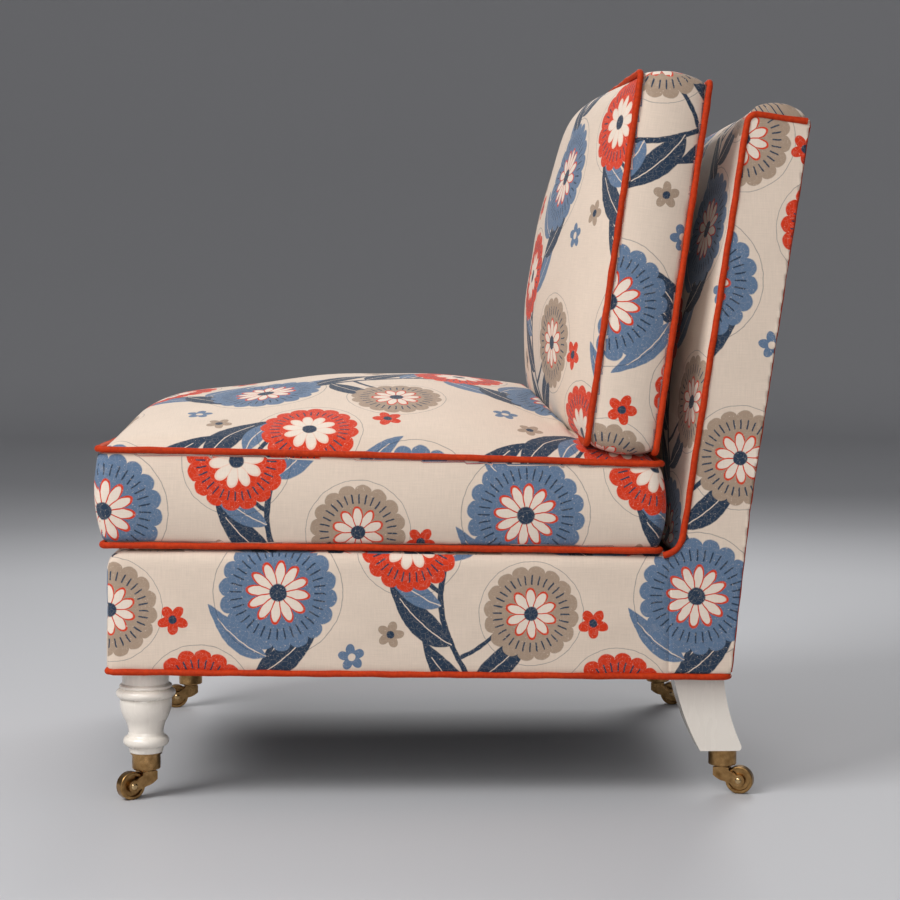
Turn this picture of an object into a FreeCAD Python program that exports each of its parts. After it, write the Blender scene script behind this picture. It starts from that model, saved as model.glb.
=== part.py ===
import FreeCAD, Part
import math
import os
import re
import Sketcher

# Slipper chair: a raked upholstered base on turned front legs and sabre rear legs with brass casters,
# a leaning padded back, and a loose seat cushion and back cushion with contrast welts.
# Millimetres and degrees. The sitter faces -Y, +X is the sitter's left and +Z is up.
# The origin lies on the floor under the middle of the chair.

Vector = FreeCAD.Vector

SIZES = {
    # base, measured in a frame that falls to the rear by the rake
    "half_width": 328,
    "base_front_y": -402,
    "base_bottom": 156,
    "base_height": 143.5,
    "rake": 0.8,
    "deck_roll": 22,
    "side_roll": 15,
    "corner_radius": 10,
    "cover_thickness": 6,
    "front_seam": 8,
    "side_seam_y": 252,
    "rail_thickness": 25,
    "rail_height": 96,
    "rail_round": 5,
    "rear_rail_set_in": 14,
    "block_leg": 62,
    "block_height": 70,
    "dust_thickness": 1.2,
    "dust_inset": 4,
    # webbing of seat and back
    "band_width": 50,
    "band_thickness": 1.5,
    "band_inset": 4,
    "seat_bands": 5,
    "seat_band_pitch": 110,
    "cross_bands": 6,
    "cross_band_pitch": 106,
    "cross_band_start": 24,
    "back_bands": 4,
    "back_band_pitch": 95,
    "back_band_start": 12,
    # back, measured in a frame that leans by the back lean
    "back_y": 276,
    "back_z": 355,
    "back_lean": 8.4,
    "lower_lean": 6,
    "back_depth": 73,
    "back_height": 456,
    "back_padding_thickness": 20,
    "top_padding_thickness": 14,
    "inside_crown": 24,
    "top_crown": 15,
    "foot_sweep": 26,
    "sweep_hidden": 0.32,
    "facing_corner": 9,
    "outside_thickness": 5.2,
    "upright_width": 35,
    "upright_foot_depth": 44.8,
    "upright_bend_drop": 20,
    "back_rail_height": 60,
    "lower_back_rail_u": 5,
    "welt_radius": 4,
    "welt_proud": 3,
    "rear_welt_proud": 2,
    "rear_welt_side_proud": 1,
    "rear_welt_bend": 400,
    # loose cushions
    "cushion_half_width": 326,
    "cushion_cover": 4,
    "core_ledge": 2,
    "cushion_corner": 13,
    "cushion_draw_in": 5,
    "cushion_bulge": 4,
    "crown_edge": 3,
    "crown_sections": 8,
    "seat_cushion_front_y": -410,
    "seat_cushion_depth": 655,
    "seat_cushion_front_height": 111,
    "seat_cushion_rear_height": 101,
    "seat_crown": 84,
    "seat_crown_peak": 0.5,
    "seat_crown_front_power": 1.5,
    "seat_crown_rear_power": 2.5,
    "seat_under_crown": 4,
    "back_cushion_y": 238,
    "back_cushion_z": 407,
    "back_cushion_lean": 8.1,
    "back_cushion_height": 438,
    "back_cushion_thickness": 81,
    "back_crown": 70,
    "back_crown_peak": 0.42,
    "back_crown_power": 2.3,
    "cushion_clearance": 0.6,
    "lean_clearance": 1.8,
    "rest_clearance": 0.3,
    "zip_length": 520,
    "zip_width": 24,
    "zip_thickness": 0.8,
    # legs
    "foot_z": 54,
    "trim_reach": 90,
    "front_leg_x": 288,
    "front_leg_y": -360.5,
    "leg_foot_radius": 20,
    "leg_foot_round": 1.5,
    "leg_foot_swell": 0.6,
    "leg_foot_high": 6,
    "leg_lower_ring_radius": 27,
    "leg_lower_ring_bow": 3,
    "leg_lower_ring_low": 8.5,
    "leg_lower_ring_high": 19.5,
    "leg_waist_radius": 20.5,
    "leg_waist_low": 22.5,
    "leg_waist_high": 25,
    "leg_bulb_radius": 30.5,
    "leg_bulb_flare": 6,
    "leg_bulb_bow": 1.2,
    "leg_bulb_low": 39,
    "leg_bulb_middle": 58.5,
    "leg_bulb_high": 65.5,
    "leg_ring_radius": 35,
    "leg_ring_bow": 4,
    "leg_ring_low": 66,
    "leg_ring_high": 76,
    "leg_bead_radius": 29.5,
    "leg_bead_bow": 1.6,
    "leg_bead_low": 77,
    "leg_bead_high": 81.5,
    "leg_neck_radius": 27.5,
    "leg_neck_low": 83,
    "leg_neck_flare": 2,
    "leg_hollow": 0.7,
    "rear_leg_x": 286,
    "rear_leg_width": 44,
    "rear_leg_top_y": 262,
    "rear_leg_top_depth": 60.5,
    "rear_leg_bottom_y": 296,
    "rear_leg_bottom_depth": 49,
    "rear_leg_bow": 5,
    "rear_leg_foot_high": 6,
    "rear_leg_round": 4,
    "rear_bolt_out": 12,
    "rear_bolt_in": 28,
    "bolt_radius": 4,
    "bolt_length": 64,
    "block_hole_radius": 4.8,
    # casters
    "rear_caster_y": 326,
    "wheel_radius": 16.5,
    "wheel_width": 12.5,
    "wheel_rim": 3.8,
    "wheel_hub": 7.2,
    "wheel_dish": 2.8,
    "wheel_dish_slope": 0.6,
    "wheel_round": 2,
    "wheel_round_bow": 0.7,
    "trail": 21,
    "cup_radius": 16.8,
    "cup_height": 20,
    "cup_round": 1.7,
    "cup_round_bow": 0.5,
    "cup_flange": 1.6,
    "cup_flange_radius": 18.8,
    "cup_stem_radius": 4.8,
    "cup_stem_length": 30,
    "swivel_gap": 2.2,
    "swivel_radius": 4,
    "swivel_depth": 14,
    "swivel_end_gap": 0.5,
    "washer_gap": 0.1,
    "running_clearance": 0.05,
    "horn_half_depth": 9.5,
    "horn_lip": 3.5,
    "horn_hollow": 0.6,
    "horn_arm_in": 2.8,
    "horn_tail": 10,
    "horn_tail_drop": 5.5,
    "cheek_thickness": 3,
    "cheek_clearance": 0.6,
    "wheel_clearance": 1.3,
    "boss_radius": 7,
    "boss_bow": 3.2,
    "axle_radius": 2.5,
    "axle_head_radius": 4,
    "axle_head_flat": 1.2,
    "axle_head_height": 1.4,
    "axle_head_bow": 0.4,
    "front_left_turn": 35,
    "front_right_turn": 12,
    "rear_left_turn": 160,
    "rear_right_turn": 170,
}

# worked out from the sizes above
PLACES = {
    "deck_length": "(side_seam_y - base_front_y) / cos(rake)",
    "rail_outer": "half_width - cover_thickness",
    "rail_inner": "half_width - cover_thickness - rail_thickness",
    "upright_inner": "half_width - cover_thickness - upright_width",
    "frame_front_n": "cover_thickness + back_padding_thickness",
    "frame_rear_n": "back_depth - outside_thickness",
    "frame_top_u": "back_height - cover_thickness - top_padding_thickness",
    "bend_y": "back_y + back_depth * cos(back_lean)",
    "bend_z": "back_z - back_depth * sin(back_lean)",
    "webbing_height": "rail_height + 2 * band_thickness",
    "upright_foot_y": "bend_y - (bend_z - base_bottom) * tan(lower_lean) - outside_thickness"
                      " - upright_foot_depth",
    "upright_foot_n": "(upright_foot_y - base_front_y) / cos(rake)",
    "rear_rail_y": "upright_foot_n + rear_rail_set_in",
    "welt_x": "half_width + welt_proud - welt_radius",
    "cup_bottom": "foot_z - cup_height",
    "horn_top": "foot_z - cup_height - swivel_gap",
    "horn_half_width": "wheel_width / 2 + cheek_clearance + cheek_thickness",
    "wheel_space": "wheel_radius + wheel_clearance",
    "front_bolt_z": "base_bottom - (front_leg_y - base_front_y) * tan(rake) - bolt_length / 2",
    "rear_bolt_z": "base_bottom - (rear_caster_y - base_front_y) * tan(rake) - bolt_length / 2",
    "deck_end": "rear_rail_y + rail_thickness",
    "dent_gap": "welt_proud + cushion_clearance",
    "cushion_gap": "(back_y - back_cushion_y) * cos(back_lean) + (back_cushion_z - back_z) * sin(back_lean)"
                   " + back_cushion_height * back_crown_peak * sin(back_lean - back_cushion_lean)",
    "back_rear_crown": "cushion_gap - inside_crown - lean_clearance",
    "bore_radius": "axle_radius + running_clearance",
    "socket_radius": "swivel_radius + running_clearance",
}

doc = FreeCAD.newDocument("slipper_chair")
sheet = doc.addObject("Spreadsheet::Sheet", "Sizes")
for row, (alias, number) in enumerate(SIZES.items(), start=1):
    sheet.set(f"A{row}", str(number))
    sheet.setAlias(f"A{row}", alias)
for row, (alias, formula) in enumerate(PLACES.items(), start=1):
    sheet.set(f"B{row}", "=" + formula)
    sheet.setAlias(f"B{row}", alias)
doc.recompute()

nodes = {}


def plain(amount):
    return float(getattr(amount, "Value", amount))


def bound(text):
    """Put the sheet's name before each alias in an expression."""
    def name(word):
        known = word[0] in SIZES or word[0] in PLACES
        return "Sizes." + word[0] if known else word[0]
    return re.sub(r"[a-z]\w*", name, str(text))


def value(text):
    return plain(sheet.evalExpression(bound(text)))


class Size:
    """The sheet's sizes as plain numbers, for the forms that Part's own functions make."""


size = Size()
for alias in list(SIZES) + list(PLACES):
    setattr(size, alias, plain(sheet.get(alias)))

# how near two positions count as one, and how far a cutting block runs past what it cuts
CLOSE = 0.1
PAST = 1.0


# frames of the base and of the back, as expressions in the chair's frame

def on_base(y, z):
    return (f"base_front_y + ({y}) * cos(rake) + ({z}) * sin(rake)",
            f"base_bottom - ({y}) * sin(rake) + ({z}) * cos(rake)")


def on_back(n, u):
    return (f"back_y + ({n}) * cos(back_lean) + ({u}) * sin(back_lean)",
            f"back_z - ({n}) * sin(back_lean) + ({u}) * cos(back_lean)")


def under_base(y):
    """A point on the raked plane of the base's lower edge."""
    return (y, f"base_bottom - (({y}) - base_front_y) * tan(rake)")


def rear_line(z, inset="0"):
    """A point on the lower part of the rear face, moved in by an inset."""
    return (f"bend_y - (bend_z - ({z})) * tan(lower_lean) - ({inset})", z)


# bodies, sketches and features

def new_body(name, place=("0", "0", "0"), turn=None, axis=(1, 0, 0)):
    body = doc.addObject("PartDesign::Body", name)
    body.Label = name
    if turn is not None:
        body.Placement = FreeCAD.Placement(Vector(), FreeCAD.Rotation(Vector(*axis), 1))
        body.setExpression("Placement.Rotation.Angle", bound(turn))
    for letter, amount in zip("xyz", place):
        body.setExpression(f"Placement.Base.{letter}", bound(amount))
    nodes[name] = body
    return body


def base_body(name, x="0"):
    return new_body(name, (x, "base_front_y", "base_bottom"), "-rake")


def back_body(name, x="0"):
    return new_body(name, (x, "back_y", "back_z"), "-back_lean")


def draw(body, role, outline, offset="0"):
    """A closed outline: each item is a corner (a, b), or (a, b, bow) where an arc that bows to the
    left of its chord by that much runs from this corner to the next one."""
    sketch = body.newObject("Sketcher::SketchObject", body.Label + "_sketch")
    plane = [item for item in body.Origin.OriginFeatures if item.Role == role][0]
    sketch.AttachmentSupport = [(plane, "")]
    sketch.MapMode = "FlatFace"
    if offset != "0":
        sketch.setExpression("AttachmentOffset.Base.z", bound(offset))
    corners = [Vector(value(item[0]), value(item[1]), 0) for item in outline]
    count = len(outline)
    ends = []
    for k, item in enumerate(outline):
        start = corners[k]
        end = corners[(k + 1) % count]
        if len(item) == 2:
            sketch.addGeometry(Part.LineSegment(start, end), False)
            ends.append((1, 2))
            continue
        # arcs are kept anticlockwise, so one that bows to the left starts at its second corner
        bow = value(item[2])
        chord = end - start
        left = Vector(-chord.y, chord.x, 0).normalize()
        top = (start + end) / 2 + left * bow
        first, last = (end, start) if bow > 0 else (start, end)
        sketch.addGeometry(Part.Arc(first, top, last), False)
        ends.append((2, 1) if bow > 0 else (1, 2))
    for k in range(count):
        after = (k + 1) % count
        sketch.addConstraint(Sketcher.Constraint("Coincident", k, ends[k][1], after, ends[after][0]))
    for k, item in enumerate(outline):
        for kind, text, number in (("DistanceX", item[0], corners[k].x), ("DistanceY", item[1], corners[k].y)):
            spot = sketch.addConstraint(Sketcher.Constraint(kind, -1, 1, k, ends[k][0], number))
            sketch.setExpression(f"Constraints[{spot}]", bound(text))
        if len(item) == 3:
            end = outline[(k + 1) % count]
            span = f"((({end[0]}) - ({item[0]})) ^ 2 + (({end[1]}) - ({item[1]})) ^ 2)"
            radius = f"{span} / (8 * abs({item[2]})) + abs({item[2]}) / 2"
            spot = sketch.addConstraint(Sketcher.Constraint("Radius", k, value(radius)))
            sketch.setExpression(f"Constraints[{spot}]", bound(radius))
    return sketch


def circle(body, role, x, y, radius, offset="0"):
    sketch = body.newObject("Sketcher::SketchObject", body.Label + "_circle")
    plane = [item for item in body.Origin.OriginFeatures if item.Role == role][0]
    sketch.AttachmentSupport = [(plane, "")]
    sketch.MapMode = "FlatFace"
    if offset != "0":
        sketch.setExpression("AttachmentOffset.Base.z", bound(offset))
    middle = Vector(value(x), value(y), 0)
    sketch.addGeometry(Part.Circle(middle, Vector(0, 0, 1), value(radius)), False)
    for kind, text, number in (("DistanceX", x, middle.x), ("DistanceY", y, middle.y)):
        spot = sketch.addConstraint(Sketcher.Constraint(kind, -1, 1, 0, 3, number))
        sketch.setExpression(f"Constraints[{spot}]", bound(text))
    spot = sketch.addConstraint(Sketcher.Constraint("Radius", 0, value(radius)))
    sketch.setExpression(f"Constraints[{spot}]", bound(radius))
    return sketch


def pad(body, sketch, length, middle=False, reverse=False):
    feature = body.newObject("PartDesign::Pad", body.Label + "_pad")
    feature.Profile = sketch
    feature.setExpression("Length", bound(length))
    feature.Midplane = middle
    feature.Reversed = reverse
    return feature


def pocket(body, sketch, length, middle=False, reverse=False):
    feature = body.newObject("PartDesign::Pocket", body.Label + "_pocket")
    feature.Profile = sketch
    feature.setExpression("Length", bound(length))
    feature.Midplane = middle
    feature.Reversed = reverse
    return feature


def revolve(body, sketch, axis):
    feature = body.newObject("PartDesign::Revolution", body.Label + "_turned")
    feature.Profile = sketch
    feature.ReferenceAxis = (sketch, [axis])
    feature.Angle = 360
    return feature


def fillet(body, radius, chosen):
    """Round the edges of the body's tip whose middle point passes the test."""
    doc.recompute()
    tip = body.Tip
    names = []
    for k, edge in enumerate(tip.Shape.Edges, start=1):
        centre = edge.CenterOfMass
        if chosen(centre, edge):
            names.append(f"Edge{k}")
    feature = body.newObject("PartDesign::Fillet", body.Label + "_round")
    feature.Base = (tip, names)
    feature.setExpression("Radius", bound(radius))
    return feature


def repeat(body, feature, sketch, axis, pitch, count):
    pattern = body.newObject("PartDesign::LinearPattern", body.Label + "_row")
    pattern.Originals = [feature]
    pattern.Direction = (sketch, [axis])
    pattern.setExpression("Length", bound(f"({pitch}) * (({count}) - 1)"))
    pattern.setExpression("Occurrences", bound(count))
    body.Tip = pattern
    return pattern


def feature_of(name, shape):
    """A sub-part whose form comes from Part's own functions, already in the chair's frame."""
    item = doc.addObject("Part::Feature", name)
    item.Label = name
    item.Shape = shape
    nodes[name] = item
    return item


def box(x0, x1, y0, y1, z0, z1):
    return Part.makeBox(x1 - x0, y1 - y0, z1 - z0, Vector(x0, y0, z0))


BASE_PLACE = FreeCAD.Placement(Vector(0, size.base_front_y, size.base_bottom),
                               FreeCAD.Rotation(Vector(1, 0, 0), -size.rake))
BACK_PLACE = FreeCAD.Placement(Vector(0, size.back_y, size.back_z),
                               FreeCAD.Rotation(Vector(1, 0, 0), -size.back_lean))
SEAT_PLACE = BASE_PLACE * FreeCAD.Placement(
    Vector(0, size.seat_cushion_front_y - size.base_front_y,
           size.base_height + size.rest_clearance + size.welt_radius), FreeCAD.Rotation())
PILLOW_PLACE = FreeCAD.Placement(Vector(0, size.back_cushion_y, size.back_cushion_z),
                                 FreeCAD.Rotation(Vector(1, 0, 0), 90 - size.back_cushion_lean))


def placed(shape, placement):
    return shape.transformed(placement.toMatrix())


def main_solid(shape):
    """The largest solid of a shape, without the slivers that a cut leaves beside it."""
    return max(shape.Solids, key=lambda solid: solid.Volume)


def prism(points, low, high):
    """A side profile of (y, z) corners, solid from one x to the other."""
    corners = [Vector(low, y, z) for y, z in points]
    return Part.Face(Part.makePolygon(corners + corners[:1])).extrude(Vector(high - low, 0, 0))


def pipe(path, radius):
    """A round cord along a wire of tangent lines and arcs."""
    start = path.Edges[0]
    along = start.tangentAt(start.FirstParameter)
    ring = Part.Wire([Part.makeCircle(radius, start.valueAt(start.FirstParameter), along)])
    return path.makePipeShell([ring], True, False)


def rounded_path(points, radii, closed=False):
    """Straight runs joined by tangent arcs, one radius for each inner corner."""
    count = len(points)
    corners = range(count) if closed else range(1, count - 1)
    edges = []
    first = last = None if closed else points[0]
    for k in corners:
        before = (points[k - 1] - points[k]).normalize()
        after = (points[(k + 1) % count] - points[k]).normalize()
        half = before.getAngle(after) / 2
        reach = radii[k] / math.tan(half)
        enter = points[k] + before * reach
        leave = points[k] + after * reach
        bisector = (before + after).normalize()
        top = points[k] + bisector * (radii[k] / math.sin(half) - radii[k])
        if last is None:
            first = enter
        else:
            edges.append(Part.makeLine(last, enter))
        edges.append(Part.Arc(enter, top, leave).toShape())
        last = leave
    edges.append(Part.makeLine(last, first if closed else points[-1]))
    return Part.Wire(edges)


# wooden frame of the base

def make_rails():
    front = base_body("front_rail")
    across = draw(front, "XY_Plane", [
        ("-rail_outer", "cover_thickness"), ("rail_outer", "cover_thickness"),
        ("rail_outer", "cover_thickness + rail_thickness"),
        ("-rail_outer", "cover_thickness + rail_thickness")])
    pad(front, across, "rail_height")
    fillet(front, "rail_round", lambda centre, edge: centre.y < size.cover_thickness + CLOSE
           and abs(abs(centre.x) - size.rail_outer) < CLOSE)

    rear = base_body("rear_rail")
    across = draw(rear, "XY_Plane", [
        ("-upright_inner", "rear_rail_y"), ("upright_inner", "rear_rail_y"),
        ("upright_inner", "rear_rail_y + rail_thickness"),
        ("-upright_inner", "rear_rail_y + rail_thickness")])
    pad(rear, across, "rail_height")

    for side, sign in (("left", ""), ("right", "-")):
        rail = base_body(f"side_rail_{side}")
        edges = [f"{sign}rail_inner", f"{sign}rail_outer"]
        low = "cover_thickness + rail_thickness"
        high = "upright_foot_n"
        along = draw(rail, "XY_Plane", [(edges[0], low), (edges[1], low), (edges[1], high), (edges[0], high)])
        pad(rail, along, "rail_height")


def make_corner_blocks():
    blocks = base_body("corner_blocks")
    front = "cover_thickness + rail_thickness"
    lift = "(rail_height - block_height) / 2"
    for sign in ("", "-"):
        sketch = draw(blocks, "XY_Plane", [
            (f"{sign}rail_inner", front), (f"{sign}(rail_inner - block_leg)", front),
            (f"{sign}rail_inner", f"{front} + block_leg")], lift)
        pad(blocks, sketch, "block_height")
        sketch = draw(blocks, "XY_Plane", [
            (f"{sign}upright_inner", "rear_rail_y"), (f"{sign}(upright_inner - block_leg)", "rear_rail_y"),
            (f"{sign}upright_inner", "rear_rail_y - block_leg")], lift)
        pad(blocks, sketch, "block_height")
        hole = circle(blocks, "XY_Plane", f"{sign}front_leg_x", "front_leg_y - base_front_y",
                      "block_hole_radius", "-bolt_length / 2")
        pocket(blocks, hole, "bolt_length", reverse=True)


# wooden frame of the back

def make_uprights():
    top = on_back("frame_front_n", "frame_top_u")
    top_rear = on_back("frame_rear_n", "frame_top_u")
    bend_rear = on_back("frame_rear_n", "0")
    bend_front = on_back("frame_front_n", "-upright_bend_drop")
    foot_rear = under_base(rear_line("base_bottom", "outside_thickness")[0])
    foot_front = on_base("upright_foot_n", "0")
    knee = on_base("upright_foot_n", "rail_height")
    for side, start in (("left", "upright_inner"), ("right", "-rail_outer")):
        post = new_body(f"back_upright_{side}", (start, "0", "0"))
        outline = draw(post, "YZ_Plane", [foot_front, foot_rear, bend_rear, top_rear, top, bend_front, knee])
        pad(post, outline, "upright_width")
        outer = size.upright_width if side == "left" else 0
        fillet(post, "rail_round", lambda centre, edge: abs(centre.x - outer) < CLOSE
               and centre.y > size.bend_y - size.back_depth)
        across = "rear_leg_x + rear_bolt_out" if side == "left" else "-rear_leg_x - rear_bolt_out"
        hole = circle(post, "XY_Plane", f"{across} - ({start})", "rear_caster_y - rear_bolt_in", "bolt_radius",
                      "rear_bolt_z")
        pocket(post, hole, "bolt_length", reverse=True)


def make_back_rails():
    for name, low in (("back_top_rail", "frame_top_u - back_rail_height"),
                      ("back_lower_rail", "lower_back_rail_u")):
        rail = back_body(name)
        high = f"{low} + back_rail_height"
        outline = draw(rail, "YZ_Plane", [
            ("frame_front_n", low), ("frame_front_n + rail_thickness", low),
            ("frame_front_n + rail_thickness", high), ("frame_front_n", high)])
        pad(rail, outline, "2 * upright_inner", middle=True)


# webbing

def make_webbing():
    seat = base_body("seat_webbing")
    half = "band_width / 2"
    first = "-seat_band_pitch * (seat_bands - 1) / 2"
    sketch = draw(seat, "XY_Plane", [
        (f"{first} - {half}", "cover_thickness + band_inset"),
        (f"{first} + {half}", "cover_thickness + band_inset"),
        (f"{first} + {half}", "deck_end - band_inset"), (f"{first} - {half}", "deck_end - band_inset")],
        "rail_height")
    band = pad(seat, sketch, "band_thickness")
    repeat(seat, band, sketch, "H_Axis", "seat_band_pitch", "seat_bands")
    start = "cover_thickness + rail_thickness + cross_band_start"
    end = "rail_outer - band_inset"
    sketch = draw(seat, "XY_Plane", [
        (f"-({end})", start), (end, start),
        (end, f"{start} + band_width"), (f"-({end})", f"{start} + band_width")],
        "rail_height + band_thickness")
    band = pad(seat, sketch, "band_thickness")
    repeat(seat, band, sketch, "V_Axis", "cross_band_pitch", "cross_bands")

    back = back_body("back_webbing")
    start = "lower_back_rail_u + back_rail_height + back_band_start"
    sketch = draw(back, "XZ_Plane", [
        (f"-({end})", start), (end, start),
        (end, f"{start} + band_width"), (f"-({end})", f"{start} + band_width")],
        "-frame_front_n")
    band = pad(back, sketch, "band_thickness")
    repeat(back, band, sketch, "V_Axis", "back_band_pitch", "back_bands")


# legs

def trim_top(body, y):
    """Cut a leg's top end on the raked plane that it bears against."""
    near = under_base(f"{y} - trim_reach")[1]
    far = under_base(f"{y} + trim_reach")[1]
    sketch = draw(body, "YZ_Plane", [
        ("-trim_reach", f"{near} - foot_z"), ("trim_reach", f"{far} - foot_z"),
        ("trim_reach", f"{near} - foot_z + trim_reach"), ("-trim_reach", f"{near} - foot_z + trim_reach")])
    pocket(body, sketch, "2 * trim_reach", middle=True)


def drill_leg(body, bolt_x, bolt_y, bolt_z):
    """Holes for the hanger bolt at the top and the caster's stem at the foot."""
    sketch = circle(body, "XY_Plane", bolt_x, bolt_y, "bolt_radius", f"{bolt_z} - foot_z")
    pocket(body, sketch, "bolt_length", reverse=True)
    sketch = circle(body, "XY_Plane", "0", "0", "cup_stem_radius")
    pocket(body, sketch, "cup_stem_length", reverse=True)


def make_front_legs():
    top = "base_bottom - foot_z + leg_bead_bow"
    ring_start = "leg_lower_ring_radius - leg_lower_ring_bow"
    shoulder = "leg_ring_radius - leg_ring_bow"
    for side, sign in (("left", ""), ("right", "-")):
        leg = new_body(f"front_leg_{side}", (f"{sign}front_leg_x", "front_leg_y", "foot_z"))
        outline = draw(leg, "XZ_Plane", [
            ("0", "0"), ("leg_foot_radius - leg_foot_round", "0", "-leg_foot_round / 4"),
            ("leg_foot_radius", "leg_foot_round"),
            ("leg_foot_radius + leg_foot_swell", "leg_foot_high", "leg_foot_swell"),
            (ring_start, "leg_lower_ring_low", "-leg_lower_ring_bow"),
            (ring_start, "leg_lower_ring_high", "leg_hollow"),
            ("leg_waist_radius + leg_hollow", "leg_waist_low"),
            ("leg_waist_radius", "leg_waist_high", "leg_hollow"),
            ("leg_bulb_radius - leg_bulb_flare", "leg_bulb_low", "-leg_bulb_bow"),
            ("leg_bulb_radius", "leg_bulb_middle", "-leg_hollow / 2"),
            ("leg_bulb_radius - leg_hollow", "leg_bulb_high"),
            (shoulder, "leg_ring_low", "-leg_ring_bow"), (shoulder, "leg_ring_high"),
            ("leg_bead_radius", "leg_bead_low", "-leg_bead_bow"), ("leg_bead_radius", "leg_bead_high"),
            ("leg_neck_radius", "leg_neck_low", "leg_hollow"),
            ("leg_neck_radius + leg_neck_flare", top), ("0", top)])
        revolve(leg, outline, "V_Axis")
        trim_top(leg, "front_leg_y")
        drill_leg(leg, "0", "0", "front_bolt_z")


def make_rear_legs():
    for side, sign in (("left", ""), ("right", "-")):
        leg = new_body(f"rear_leg_{side}", (f"{sign}rear_leg_x", "rear_caster_y", "foot_z"))
        top = "base_bottom - foot_z"
        foot_rear = "rear_leg_bottom_y + rear_leg_bottom_depth - rear_caster_y"
        outline = draw(leg, "YZ_Plane", [
            ("rear_leg_bottom_y - rear_caster_y", "0"),
            (foot_rear, "0"), (foot_rear, "rear_leg_foot_high", "rear_leg_bow"),
            ("rear_leg_top_y + rear_leg_top_depth - rear_caster_y", top),
            ("rear_leg_top_y - rear_caster_y", top, "-rear_leg_bow")])
        pad(leg, outline, "rear_leg_width", middle=True)
        trim_top(leg, "rear_caster_y")
        fillet(leg, "rear_leg_round", lambda centre, edge: abs(centre.z) < CLOSE
               and centre.y > size.rear_leg_bottom_y - size.rear_caster_y + size.rear_leg_bottom_depth - CLOSE)
        drill_leg(leg, f"{sign}rear_bolt_out", "-rear_bolt_in", "rear_bolt_z")


# upholstery of the base

def base_block(inset, low=0.0):
    """The padded outside of the base, moved in by an inset and open below and behind."""
    half = size.half_width - inset
    top = size.base_height - inset
    end = size.deck_end
    roll = size.deck_roll
    side = size.side_roll
    corner = size.corner_radius
    turn = math.sqrt(0.5)
    shift = (roll - inset) * turn
    front_top = Part.Arc(Vector(0, inset, size.base_height - roll),
                         Vector(0, roll - shift, size.base_height - roll + shift),
                         Vector(0, roll, top)).toShape()
    profile = Part.Wire([
        Part.makeLine(Vector(0, inset, low), Vector(0, inset, size.base_height - roll)), front_top,
        Part.makeLine(Vector(0, roll, top), Vector(0, end, top)),
        Part.makeLine(Vector(0, end, top), Vector(0, end, low)),
        Part.makeLine(Vector(0, end, low), Vector(0, inset, low))])
    along = Part.Face(profile).extrude(Vector(2 * half, 0, 0))
    along.translate(Vector(-half, 0, 0))
    across = box(-half, half, -PAST, end + PAST, low - PAST, top)
    edges = [edge for edge in across.Edges if edge.CenterOfMass.z > top - CLOSE
             and abs(abs(edge.CenterOfMass.x) - half) < CLOSE]
    across = across.makeFillet(side - inset, edges)
    plan = box(-half, half, inset, end + PAST, low - PAST, top + PAST)
    edges = [edge for edge in plan.Edges if edge.CenterOfMass.y < inset + CLOSE
             and abs(abs(edge.CenterOfMass.x) - half) < CLOSE]
    plan = plan.makeFillet(corner - inset, edges)
    return along.common(across).common(plan)


def base_welt_path():
    side = size.welt_x
    front = size.welt_radius - size.welt_proud
    rear = (value(rear_line("base_bottom")[0]) - size.base_front_y) / math.cos(math.radians(size.rake))
    rear = rear - front
    points = [Vector(-side, front, 0), Vector(side, front, 0), Vector(side, rear, 0), Vector(-side, rear, 0)]
    return rounded_path(points, [size.corner_radius] * 4, closed=True)


def make_base_upholstery():
    welt = feature_of("base_welt", placed(pipe(base_welt_path(), size.welt_radius), BASE_PLACE))
    posts = [nodes["back_upright_left"].Shape, nodes["back_upright_right"].Shape]
    outer = base_block(0)
    skin = outer.cut(base_block(size.cover_thickness, low=-PAST))
    half = size.half_width
    seam = size.front_seam
    top = size.base_height + PAST
    end = size.deck_length
    pieces = {
        "base_front_cover": box(-half, half, -PAST, seam, -PAST, top),
        "base_side_cover_left": box(half - seam, half, seam, end, -PAST, top),
        "base_side_cover_right": box(-half, seam - half, seam, end, -PAST, top),
        "seat_deck_cover": box(seam - half, half - seam, seam, end, size.rail_height, top).fuse(
            box(-size.rail_outer, size.rail_outer, end, size.deck_end, size.rail_height, top)),
    }
    for name, room in pieces.items():
        piece = placed(skin.common(room), BASE_PLACE)
        tools = posts if name == "seat_deck_cover" else [welt.Shape]
        feature_of(name, main_solid(piece.cut(tools)))
    filling = base_block(size.cover_thickness).common(
        box(-half, half, 0, size.deck_end, size.webbing_height, top))
    feature_of("seat_padding", placed(filling, BASE_PLACE).cut(posts))


def make_dust_cover():
    side = size.rail_outer - size.dust_inset
    cloth = box(-side, side, size.cover_thickness + size.dust_inset, size.deck_end, -size.dust_thickness, 0)
    legs = [nodes[f"{end}_leg_{side}"].Shape for end in ("front", "rear") for side in ("left", "right")]
    feature_of("dust_cover", main_solid(placed(cloth, BASE_PLACE).cut(legs)))


# upholstery of the back

def deck_corner():
    """Where the deck meets the inside back, in the leaning frame: the corner and the deck's direction."""
    to_back = BACK_PLACE.inverse()
    near = to_back.multVec(BASE_PLACE.multVec(Vector(0, 0, size.base_height)))
    far = to_back.multVec(BASE_PLACE.multVec(Vector(0, size.deck_end, size.base_height)))
    along = (far - near).normalize()
    corner = near - along * (near.y / along.y)
    return corner, along


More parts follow.
